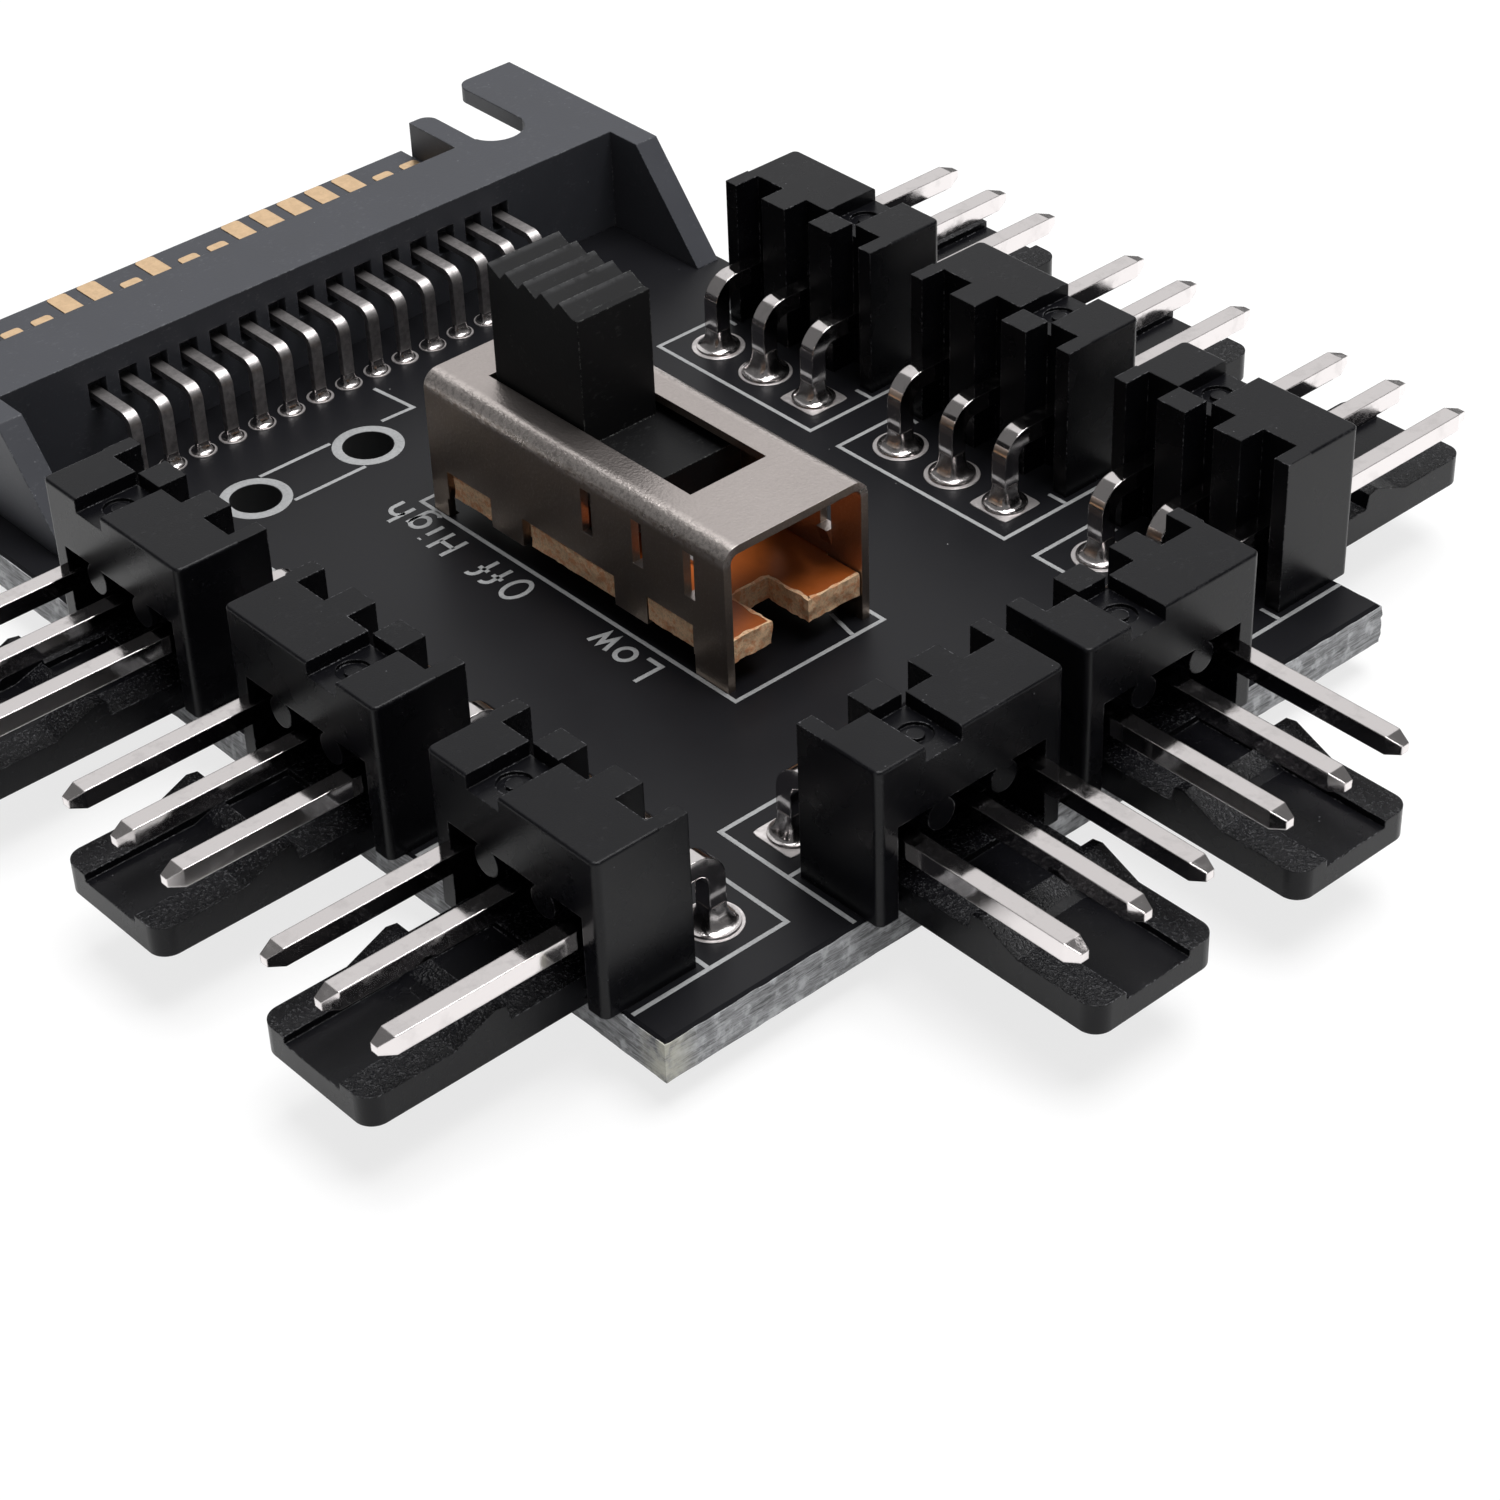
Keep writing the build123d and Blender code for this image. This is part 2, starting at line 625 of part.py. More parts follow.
def build_clip():
    """Springy strip under the carriage: a flat crown and a land on each of two terminal heads."""
    land_z = board_top + base_high + terminal_head_height + clip_clearance + clip_thickness / 2
    crown_z = board_top + carriage_low - clip_thickness / 2
    reach = slide_step / 2
    right = [(clip_crown / 2, crown_z), (reach - clip_land / 2, land_z), (reach + clip_land / 2, land_z)]
    left = [(-x, z) for x, z in reversed(right)]
    with BuildPart() as clip:
        with BuildSketch(Plane.XZ.offset(-switch_y)):
            with BuildLine():
                Polyline(*[(knob_x + x, z) for x, z in left + right])
            trace(line_width=clip_thickness)
        extrude(amount=clip_width / 2, both=True)
    keep(clip, "contact_clip")


def build_spring():
    """Bowed leaf in the carriage's flank, its crown just inside the shell's slit."""
    x = knob_x + spring_place
    pocket_y = switch_y - carriage_width / 2 + spring_pocket_depth
    seat_y = pocket_y - spring_thickness / 2 - spring_seat_clearance
    crown_y = switch_y - shell_inner_width / 2 + spring_wall_clearance + spring_thickness / 2
    middle_z = board_top + (carriage_low + carriage_top) / 2
    with BuildPart() as spring:
        with BuildSketch(Plane.XY.offset(middle_z)):
            with BuildLine():
                ThreePointArc((x - spring_half_span, seat_y), (x, crown_y), (x + spring_half_span, seat_y))
            trace(line_width=spring_thickness)
        extrude(amount=spring_height / 2, both=True)
    keep(spring, "detent_spring")


build_board()
for header_label, header_edge, header_slot_side in headers:
    build_header(header_label, header_edge, header_slot_side)
    for pin_number, pin_u in enumerate(pin_places, 1):
        build_pin(f"{header_label}_pin_{pin_number}", header_edge, pin_u)
build_plug()
for contact_number in range(1, contact_count + 1):
    build_contact(contact_number)
build_shell()
build_base()
for terminal_number in range(1, len(terminal_xs) + 1):
    build_terminal(terminal_number)
build_slider()
build_clip()
build_spring()

os.makedirs("parts", exist_ok=True)
for solid in finished:
    export_step(solid, f"parts/{solid.label}.step")
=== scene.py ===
"""Fan controller hub: finishes for its parts, its solder joints, pads, print and legend, the torn skin of
its board's edges and the torn sides of its switch's base plate."""

import math

import bpy
import numpy as np
from mathutils import Matrix, Vector


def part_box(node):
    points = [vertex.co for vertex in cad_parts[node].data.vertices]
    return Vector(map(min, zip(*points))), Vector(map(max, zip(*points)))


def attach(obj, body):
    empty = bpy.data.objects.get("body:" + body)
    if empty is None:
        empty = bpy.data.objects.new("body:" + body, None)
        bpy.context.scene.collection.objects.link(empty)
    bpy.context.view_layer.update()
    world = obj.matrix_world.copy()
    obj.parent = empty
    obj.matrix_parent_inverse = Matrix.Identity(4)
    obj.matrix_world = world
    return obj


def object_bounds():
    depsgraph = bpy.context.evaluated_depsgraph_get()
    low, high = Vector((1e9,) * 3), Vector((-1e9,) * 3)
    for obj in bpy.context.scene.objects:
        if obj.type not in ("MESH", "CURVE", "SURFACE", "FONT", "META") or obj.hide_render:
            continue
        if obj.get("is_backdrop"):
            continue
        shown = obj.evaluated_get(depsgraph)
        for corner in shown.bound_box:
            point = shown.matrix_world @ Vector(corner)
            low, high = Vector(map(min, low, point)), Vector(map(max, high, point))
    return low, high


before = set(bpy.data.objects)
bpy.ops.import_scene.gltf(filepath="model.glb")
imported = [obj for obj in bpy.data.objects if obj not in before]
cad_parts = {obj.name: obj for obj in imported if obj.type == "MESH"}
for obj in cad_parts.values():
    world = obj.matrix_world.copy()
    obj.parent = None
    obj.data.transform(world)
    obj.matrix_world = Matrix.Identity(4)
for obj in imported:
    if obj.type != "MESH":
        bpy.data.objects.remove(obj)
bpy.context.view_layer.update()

bl_info = {
    "name": "Fan Controller Hub",
    "version": (1, 0, 0),
    "blender": (4, 5, 0),
    "location": "3D View > Sidebar > Fan Hub",
    "description": "Finishes, solder joints, print and stage for a small fan controller hub",
    "category": "Object",
}

MM = 0.001
BOARD_LOW, BOARD_HIGH = (np.array(corner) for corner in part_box("circuit_board"))
BOARD_TOP = BOARD_HIGH[2]
BOARD_UNDER = BOARD_LOW[2]
HEADERS = [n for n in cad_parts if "_header_" in n and "_pin_" not in n]
PINS = [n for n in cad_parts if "_pin_" in n]
CONTACTS = [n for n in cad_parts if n.startswith("plug_contact_")]
TERMINALS = [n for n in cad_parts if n.startswith("switch_terminal_")]
OUTWARD = {"right": np.array((0.0, -1.0)), "left": np.array((0.0, 1.0)), "end": np.array((1.0, 0.0))}


def header_frame(header):
    """Point on the board's edge at a header's middle, the outward direction and the one along the edge."""
    low, high = (np.array(corner[:2]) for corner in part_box(header))
    outward = OUTWARD[header.split("_")[0]]
    along = np.array((-outward[1], outward[0]))
    middle = (low + high) / 2
    reach = float(np.max(outward * np.where(outward > 0, BOARD_HIGH[:2], BOARD_LOW[:2])))
    return middle + outward * (reach - float(middle @ outward)), outward, along


def leg_place(header, pin):
    """Middle of the upright leg of one of a header's pins, in plan."""
    low, high = (np.array(corner[:2]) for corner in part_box(pin))
    outward = OUTWARD[header.split("_")[0]]
    inner = np.where(outward > 0, low, high)
    half_wire = float(np.min(high - low)) / 2
    middle = (low + high) / 2
    return middle + outward * (float(inner @ outward) + half_wire - float(middle @ outward))


def contact_place(contact, thickness):
    """Middle of the upright part of one of the plug's leads, in plan."""
    low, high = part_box(contact)
    return np.array((high[0] - thickness / 2, (low[1] + high[1]) / 2))


# Edge tabs of the switch's base plate: start and end from its middle
BASE_TABS = ((-6.3 * MM, -4.33 * MM), (-2.2 * MM, 2.02 * MM), (3.7 * MM, 5.87 * MM))

# The switch's terminals and shell prongs: half sizes in plan and pad radii
TERMINAL_HALF = (0.2 * MM, 0.4 * MM)
TERMINAL_PAD = 0.85 * MM
PRONG_HALF = (0.35 * MM, 0.15 * MM)
PRONG_PAD = 0.8 * MM
PRONG_FROM_LEFT = 0.38 * MM
PRONG_FROM_RIGHT = 0.78 * MM

# Powers of the superellipses of round and square pads, and of a leg's outline
ROUND = 2.0
SQUARE = 14.0
LEG = 5.0

# Plain holes: distance from the board's -X edge, and places along Y
HOLE_FROM_EDGE = 7.63 * MM
HOLE_NEAR = -7.15 * MM
HOLE_FAR = -2.33 * MM

# Legend: each word's start along the switch's shell, and its gap to the shell
WORDS = (("High", 2.43 * MM), ("Off", 6.15 * MM), ("Low", 12.42 * MM))
WORD_GAP = 0.55 * MM

# Settings that a user would change


def number(name, description, default, **options):
    return bpy.props.FloatProperty(name=name, description=description, default=default, **options)


def length(name, description, default):
    return number(name, description, default * MM, min=0.0, unit="LENGTH", precision=3)


def colour(name, description, default):
    return bpy.props.FloatVectorProperty(name=name, description=description, default=default, size=3,
                                         min=0.0, max=1.0, subtype="COLOR")


class HubSizes(bpy.types.PropertyGroup):
    pad_radius: length("Pad radius", "Copper pad round each fan pin", 0.98)
    square_pad: length("Square pad", "Half the side of the pad at pin 1", 0.88)
    pad_height: length("Pad height", "Copper and tin above the solder mask", 0.03)
    solder_height: length("Solder height", "Climb of the solder up a fan pin's leg", 0.85)
    pin_half: length("Pin half width", "Half the side of a fan pin's wire", 0.32)
    lead_pad_radius: length("Lead pad radius", "Copper pad round each lead of the plug", 0.5)
    lead_solder_height: length("Lead solder height", "Climb of the solder up a plug lead", 0.42)
    lead_thickness: length("Lead thickness", "Thickness of a plug lead", 0.25)
    lead_half: length("Lead half width", "Half the width of a plug lead", 0.225)
    line_width: length("Print width", "Width of the printed lines", 0.155)
    ink_height: length("Ink height", "Thickness of the printed ink", 0.014)
    outline_half: length("Outline half width", "Half the length of a header's printed outline", 4.05)
    outline_depth: length("Outline depth", "Its depth from the board's edge", 6.0)
    outline_cross: length("Outline cross line", "Place of the line across it", 3.0)
    letter_height: length("Letter height", "Height of a capital in the switch legend", 1.15)
    letter_width: length("Letter line", "Width of the legend's strokes", 0.17)
    tab_depth: length("Tab depth", "How far the base plate's tabs stand out of its sides", 0.3)
    end_notch_depth: length("End notch depth", "Depth of the notch in each end of the base plate", 1.9)
    end_notch_half: length("End notch half width", "Half the width of that notch", 0.85)
    end_notch_shift: length("End notch shift", "How far the notch stands to -Y of the plate's middle", 0.3)
    tear_depth: length("Tear depth", "How far torn paper stands out of the base plate", 0.09)
    edge_roughness: length("Edge roughness", "Depth of the torn fibres on the board's edges", 0.05)


class HubColours(bpy.types.PropertyGroup):
    mask: colour("Solder mask", "Board surface", (0.0052, 0.0052, 0.0064))
    fibre: colour("Glass fibre", "Sawn edges of the board", (0.33, 0.335, 0.345))
    header: colour("Header nylon", "Fan header housings", (0.0027, 0.0027, 0.0036))
    plug: colour("Plug nylon", "Power plug housing", (0.033, 0.0345, 0.041))
    knob: colour("Knob nylon", "Switch slider", (0.0062, 0.0062, 0.0066))
    tin: colour("Tin", "Plated pins, pads and leads", (0.67, 0.635, 0.63))
    gold: colour("Gold", "Plug contact blades", (0.76, 0.54, 0.33))
    nickel: colour("Nickel", "Switch shell", (0.5, 0.45, 0.43))
    phenolic: colour("Phenolic", "Switch base plate", (0.5, 0.12, 0.021))
    sheared: colour("Sheared paper", "Cut edges of the base plate", (1.0, 0.67, 0.41))
    ink: colour("Ink", "Printed lines", (0.33, 0.335, 0.34))


class HubStage(bpy.types.PropertyGroup):
    azimuth: number("Azimuth", "Heading of the view, from +Y", math.radians(49.444), subtype="ANGLE")
    elevation: number("Elevation", "View's height over the horizon", math.radians(37.064), subtype="ANGLE")
    roll: number("Roll", "Turn of the picture about the view's line", math.radians(-2.236), subtype="ANGLE")
    place: bpy.props.FloatVectorProperty(name="Camera place", description="Where the camera stands", size=3,
                                         default=(0.076576, -0.061834, 0.069144), unit="LENGTH")
    lens: number("Lens", "Focal length", 85.97, unit="CAMERA")
    key: number("Key light", "Overhead soft box", 2.0, unit="POWER")
    back: number("Back light", "Broad soft box behind", 0.55, unit="POWER")
    ambient: number("Ambient", "Strength of the surroundings as a light", 0.18)


def hub_sizes():
    return bpy.context.scene.hub_sizes


def hub_colours():
    return bpy.context.scene.hub_colours


def shade(base, share):
    """A colour times a share, held to 1."""
    return tuple(min(1.0, v * share) for v in base)


# Shader expressions


class Term:
    """A shader socket in a sum: each operator on it adds one Math node."""

    def __init__(self, tree, socket):
        self.tree = tree
        self.socket = socket

    def math(self, operation, *values, clamp=False):
        node = self.tree.nodes.new("ShaderNodeMath")
        node.operation = operation
        node.use_clamp = clamp
        for place, value in enumerate(values):
            if isinstance(value, Term):
                self.tree.links.new(value.socket, node.inputs[place])
            else:
                node.inputs[place].default_value = value
        return Term(self.tree, node.outputs[0])

    def __add__(self, other):
        return self.math("ADD", self, other)

    def __sub__(self, other):
        return self.math("SUBTRACT", self, other)

    def __rsub__(self, other):
        return self.math("SUBTRACT", other, self)

    def __mul__(self, other):
        return self.math("MULTIPLY", self, other)

    def __truediv__(self, other):
        return self.math("DIVIDE", self, other)

    def __rtruediv__(self, other):
        return self.math("DIVIDE", other, self)

    def __abs__(self):
        return self.math("ABSOLUTE", self)

    __radd__ = __add__
    __rmul__ = __mul__

    def above(self, level, soft=0.0):
        """1 over the level and 0 under it, with a ramp of width soft between."""
        if soft == 0.0:
            return self.math("GREATER_THAN", self, level)
        return ((self - (level - soft / 2)) / soft).clamped()

    def clamped(self):
        return self.math("ADD", self, 0.0, clamp=True)


class Nodes:
    """Nodes of a material or a world: all but the Math nodes come from its node method."""

    def __init__(self, owner):
        owner.use_nodes = True
        self.tree = owner.node_tree
        self.tree.nodes.clear()

    def node(self, kind, settings=None, out="_0", **values):
        """Adds a node: its settings first, then the values or links of its sockets."""
        node = self.tree.nodes.new(kind)
        for name, value in (settings or {}).items():
            setattr(node, name, value)
        self.fill(node, values)
        return node if out is None else Term(self.tree, self.socket(node.outputs, out))

    def fill(self, node, values):
        """Sets or links sockets, each given by its name with _ for a blank, or by _ and its number."""
        for name, value in values.items():
            socket = self.socket(node.inputs, name)
            if isinstance(value, Term):
                self.tree.links.new(value.socket, socket)
            else:
                socket.default_value = (*value, 1.0) if socket.type == "RGBA" else value

    @staticmethod
    def socket(group, name):
        if name[0] == "_":
            return group[int(name[1:])]
        return next(s for s in group if s.enabled and s.name.replace(" ", "_") == name)


class Finish(Nodes):
    """A material being built. Its bumps lie over edges rounded to its radius."""

    def __init__(self, name, radius=0.0):
        self.material = bpy.data.materials.new(name)
        super().__init__(self.material)
        self.radius = radius
        self.round_normal = None
        self.output = self.node("ShaderNodeOutputMaterial", out=None)
        self.surface = self.node("ShaderNodeBsdfPrincipled")
        self.fill(self.output, {"Surface": self.surface})
        self.place = self.node("ShaderNodeTexCoord", out="Object")
        self.x, self.y, self.z = self.parts(self.place)

    def parts(self, vector):
        """The three parts of a vector."""
        split = self.node("ShaderNodeSeparateXYZ", Vector=vector, out=None)
        return [Term(self.tree, part) for part in split.outputs]

    def noise(self, size, detail=2.0, roughness=0.5, stretch=None, distortion=0.0):
        """Smooth noise, from 0 to 1, with features of the given size in metres."""
        place = self.place
        if stretch:
            place = self.node("ShaderNodeMapping", Vector=place, Scale=stretch)
        return self.node("ShaderNodeTexNoise", Vector=place, Scale=1.0 / size, Detail=detail,
                         Roughness=roughness, Distortion=distortion)

    def cells(self, size):
        """Distance to the nearest of points scattered about a size apart, as a share of that size."""
        return self.node("ShaderNodeTexVoronoi", Vector=self.place, Scale=1.0 / size, out="Distance")

    def mix(self, amount, first, second):
        """Colour between two others."""
        return self.node("ShaderNodeMix", {"data_type": "RGBA"}, Factor=amount, A=first, B=second,
                         out="Result")

    def facing(self, axis):
        """Part of the surface normal along axis 0, 1 or 2."""
        return self.parts(self.node("ShaderNodeNewGeometry", out="Normal"))[axis]

    def bump(self, height, distance, strength):
        """Normal raised by a height from 0 to 1 times distance."""
        over = {"Normal": self.rounded()} if self.radius else {}
        return self.node("ShaderNodeBump", Height=height, Distance=distance, Strength=strength, **over)

    def rounded(self):
        """Normal over rounded edges."""
        if self.round_normal is None:
            self.round_normal = self.node("ShaderNodeBevel", {"samples": 4}, Radius=self.radius)
        return self.round_normal

    def edge(self, level, soft):
        """1 on a rounded edge and 0 on flat faces: one less the dot product of rounded and true normals."""
        true = self.node("ShaderNodeNewGeometry", out="Normal")
        turn = self.node("ShaderNodeVectorMath", {"operation": "DOT_PRODUCT"}, _0=self.rounded(), _1=true,
                         out="Value")
        return (1.0 - turn).above(level, soft)

    def finish(self, **values):
        """The material, with these values or links on its surface."""
        self.fill(self.surface.socket.node, values)
        return self.material


def moulded(name, base, pale_marks, rough, radius, scuffs, specks=0.85):
    """Moulded nylon: uneven gloss, scuffed patches, pale dust and pale flecks on its edges, which are partly
    burrs and partly painted glints. Gives the finish, its colour, its roughness, and its blotches and scuffs."""
    f = Finish(name, radius)
    blotch = f.noise(2.6 * MM, 3.0, 0.6)
    scuff = f.noise(0.14 * MM, 3.0, 0.75, stretch=(1.0, 0.5, 1.0)).above(0.62, 0.1)
    scuff = scuff * f.noise(1.5 * MM, 2.0, 0.6).above(0.53, 0.12) * scuffs
    dust = 1.0 - f.cells(0.4 * MM).above(0.06, 0.03)
    dust = dust * f.noise(0.9 * MM, 1.0).above(0.58, 0.05)
    # Edge flecks: pale colour on rounded edges, partly burrs and partly painted glints
    fleck = f.edge(0.03, 0.04) * f.noise(0.13 * MM, 3.0, 0.8).above(0.54, 0.1)
    fleck = fleck * f.noise(1.1 * MM, 2.0, 0.6).above(0.48, 0.12)
    pale = (scuff * 0.35 + dust * specks + fleck).clamped()
    tint = f.mix(pale, f.mix(blotch, base, shade(base, 1.4)), pale_marks)
    gloss = (blotch - 0.5) * 0.2 + rough + dust * 0.25 + scuff * 0.12
    return f, tint, gloss, blotch, scuff


def grain(f, blotch, scuff, size, depth):
    """Normal of a fine moulded grain over blotches and scuffs."""
    return f.bump(f.noise(size, 2.0, 0.6) * 0.7 + blotch * 0.2 + scuff * 0.5, depth, 0.8)


def header_nylon():
    """Fan housings: satin black, with the coarser texture of the tongue's two rails and pale painted glints
    on them.
    """
    f, tint, gloss, *_ = moulded("header_nylon", hub_colours().header, (0.17, 0.17, 0.18), 0.28,
                                 radius=0.06 * MM, scuffs=0.12, specks=0.45)
    rail_low = BOARD_TOP + 0.62 * MM
    rail_high = BOARD_TOP + 1.55 * MM
    rail = f.z.above(rail_low, 0.06 * MM) * (1.0 - f.z.above(rail_high)) * f.facing(2).above(0.4, 0.2)
    spark = f.noise(0.1 * MM, 2.0, 0.8)
    fine = f.noise(0.05 * MM, 2.0, 0.6)
    # Painted glints: pale specks mixed into the rails' colour
    glint = spark.above(0.6, 0.06) * rail
    height = fine * 0.1 + spark * rail
    normal = f.bump(height, 0.05 * MM, 0.8)
    rough = gloss - rail * 0.05
    tint = f.mix(glint * 0.3, tint, (0.11, 0.11, 0.115))
    return f.finish(Base_Color=tint, Roughness=rough, Normal=normal, Specular_IOR_Level=0.16)


def plug_nylon():
    """Plug housing: matt, slightly blue dark grey with soft streaks of flow."""
    f, tint, gloss, blotch, scuff = moulded("plug_nylon", hub_colours().plug, (0.16, 0.165, 0.175), 0.5,
                                            radius=0.08 * MM, scuffs=0.6)
    return f.finish(Base_Color=tint, Roughness=gloss, Specular_IOR_Level=0.32,
                    Normal=grain(f, blotch, scuff, 0.12 * MM, 0.006 * MM))


def knob_nylon():
    """Slider: satin black, crests of the grip rubbed pale, and a faint painted highlight on its upward faces
    near the top.
    """
    f, tint, gloss, blotch, scuff = moulded("knob_nylon", hub_colours().knob, (0.13, 0.135, 0.13), 0.42,
                                            radius=0.07 * MM, scuffs=0.3, specks=0.4)
    crest_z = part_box("switch_slider")[1][2]
    crest = f.z.above(crest_z - 0.07 * MM, 0.06 * MM) * f.noise(0.5 * MM, 3.0, 0.7).above(0.42, 0.2)
    # Upward faces near the crests: a little painted highlight in their colour, and a little more roughness
    top = f.facing(2).above(0.5, 0.3) * f.z.above(crest_z - 0.6 * MM, 0.2 * MM)
    tint = f.mix(crest * 0.2 + top * 0.02, tint, (0.12, 0.12, 0.125))
    return f.finish(Base_Color=tint, Roughness=gloss + top * 0.12, Specular_IOR_Level=0.1,
                    Normal=grain(f, blotch, scuff, 0.1 * MM, 0.005 * MM))


def solder_mask():
    """Board: near-black mask with a faint flow pattern and dust, and painted shade on the walls of the holes.
    """
    c = hub_colours()
    f = Finish("solder_mask")
    flow = f.noise(4.0 * MM, 3.0, 0.5)
    fine = f.noise(0.16 * MM, 2.0, 0.6)
    dust = 1.0 - f.cells(1.1 * MM).above(0.02, 0.012)
    dust = dust * f.noise(2.1 * MM, 1.0).above(0.5, 0.05)
    side = 1.0 - abs(f.facing(2)).above(0.35, 0.2)
    # Near-black colour for all side faces: painted shade on the walls of the holes
    resin = shade(c.fibre, 0.06)
    mask = f.mix(flow, c.mask, shade(c.mask, 1.5))
    mask = f.mix(dust, mask, (0.3, 0.3, 0.3))
    rough = 0.3 + flow * 0.1 + fine * 0.03 + dust * 0.3 + side * 0.4
    height = fine * 0.35 + flow * 0.65
    return f.finish(Base_Color=f.mix(side, mask, resin), Roughness=rough, Specular_IOR_Level=0.18,
                    Normal=f.bump(height, 0.004 * MM, 0.6))


def torn_fibre():
    """Rough board edge: layered glass cloth, pale with dark resin streaks along the edge."""
    c = hub_colours()
    f = Finish("torn_fibre")
    layers = f.noise(0.12 * MM, 5.0, 0.72, stretch=(0.055, 0.055, 1.0), distortion=0.35)
    lumps = f.noise(0.5 * MM, 3.0, 0.6)
    fine = f.noise(0.06 * MM, 2.0, 0.6)
    hairs = f.noise(0.045 * MM, 3.0, 0.7, stretch=(0.07, 0.07, 1.0), distortion=0.6)
    streak = (layers * 0.45 + hairs * 0.4 + lumps * 0.15).above(0.48, 0.15)
    tint = f.mix(streak, shade(c.fibre, 0.27), c.fibre)
    tint = f.mix(lumps.above(0.6, 0.15) * 0.55, tint, shade(c.fibre, 1.7))
    edge = f.z.above(BOARD_TOP - 0.07 * MM, 0.05 * MM) * lumps.above(0.42, 0.1)
    tint = f.mix(edge * 0.85, tint, c.mask)
    corner = f.x.above(BOARD_HIGH[0] - 0.7 * MM, 1.0 * MM)
    corner = corner * (0.0 - f.y).above(-BOARD_LOW[1] - 0.7 * MM, 1.0 * MM)
    tint = f.mix(corner * lumps.above(0.4, 0.2) * 0.7, tint, (0.5, 0.49, 0.41))
    height = layers * 0.3 + hairs * 0.25 + lumps * 0.3 + fine * 0.25
    return f.finish(Base_Color=tint, Roughness=0.62 + fine * 0.25, Specular_IOR_Level=0.35,
                    Normal=f.bump(height, 0.05 * MM, 0.9))


def tinned(name, rough, dull, dull_at, wave_size, wave_depth, radius=0.0):
    """Bright tin: long soft waves, tiny pits and patches that are darker and duller."""
    c = hub_colours()
    f = Finish(name, radius)
    wave = f.noise(wave_size, 2.0, 0.5)
    fine = f.noise(0.06 * MM, 2.0, 0.6)
    patch = f.noise(0.8 * MM, 3.0, 0.6).above(dull_at, 0.15)
    pits = 1.0 - f.cells(0.22 * MM).above(0.05, 0.04)
    tint = f.mix(patch * 0.6, c.tin, shade(c.tin, dull))
    tint = f.mix(pits * 0.3, tint, (0.22, 0.19, 0.17))
    height = wave * 0.9 + fine * 0.05 - pits * 0.05
    return f.finish(Base_Color=tint, Roughness=patch * 0.1 + fine * 0.05 + rough, Metallic=1.0,
                    Normal=f.bump(height, wave_depth, 0.7))


def pin_tin():
    return tinned("pin_tin", 0.05, dull=0.84, dull_at=0.6, wave_size=1.3 * MM, wave_depth=0.007 * MM,
                  radius=0.06 * MM)


def solder_tin():
    return tinned("solder_tin", 0.12, dull=0.5, dull_at=0.45, wave_size=0.35 * MM, wave_depth=0.02 * MM)


def pad_tin():
    return tinned("pad_tin", 0.4, dull=0.45, dull_at=0.42, wave_size=0.3 * MM, wave_depth=0.02 * MM)


def inner_metal():
    """Silvered contacts and the leaf spring inside the switch."""
    return tinned("inner_metal", 0.25, dull=0.7, dull_at=0.5, wave_size=0.4 * MM, wave_depth=0.01 * MM,
                  radius=0.03 * MM)


def contact_plate():
    """Plug contacts: gold on the blades, dull tin on the leads behind the body."""
    c = hub_colours()
    f = Finish("contact_plate", radius=0.03 * MM)
    blade_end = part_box("plug_housing")[0][0] + 5.2 * MM
    lead = f.x.above(blade_end, 0.1 * MM)
    wear = f.noise(0.3 * MM, 3.0, 0.65)
    gold = f.mix(wear.above(0.5, 0.25) * 0.5, c.gold, shade(c.gold, 0.72))
    tin = f.mix(wear.above(0.5, 0.3), shade(c.tin, 0.8), shade(c.tin, 0.5))
    return f.finish(Base_Color=f.mix(lead, gold, tin), Roughness=0.33 + wear * 0.15, Metallic=1.0,
                    Normal=f.bump(wear, 0.008 * MM, 0.7))


def nickel_plate():
    """Switch shell: warm nickel with a sandy grain, brighter where the sheet is folded, and painted light on
    its side faces: a warm brown tone and pale specks of grain.
    """
    c = hub_colours()
    f = Finish("nickel_plate", radius=0.03 * MM)
    low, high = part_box("switch_shell")
    middle_y = (low[1] + high[1]) / 2
    half = (high[1] - low[1]) / 2
    roof = f.z.above(high[2] - 0.62 * MM, 0.2 * MM)
    fold = roof * abs(f.y - middle_y).above(half - 0.5 * MM, 0.35 * MM)
    grain = f.noise(0.09 * MM, 3.0, 0.75)
    sand = f.cells(0.11 * MM)
    stain = f.noise(1.7 * MM, 4.0, 0.6)
    rub = fold * f.noise(0.16 * MM, 3.0, 0.8).above(0.45, 0.18)
    dark = shade(c.nickel, 0.62)
    tint = f.mix(stain * 0.5 + grain * 0.5, c.nickel, dark)
    # Painted light: the side faces get a warm brown tint, and pale specks where the grain catches light,
    # unlike the roof
    side = 1.0 - abs(f.facing(2)).above(0.4, 0.3)
    tint = f.mix(side * (0.35 + stain * 0.5), tint, (0.52, 0.4, 0.3))
    tint = f.mix(side * grain.above(0.6, 0.12) * 0.3, tint, (0.75, 0.68, 0.62))
    tint = f.mix(rub * 0.7, tint, (0.86, 0.79, 0.75))
    height = grain * 0.55 + sand * 0.45 + rub * 0.3
    rough = 0.29 + stain * 0.08 - rub * 0.05
    return f.finish(Base_Color=tint, Roughness=rough, Metallic=1.0,
                    Normal=f.bump(height, 0.018 * MM, 0.65))


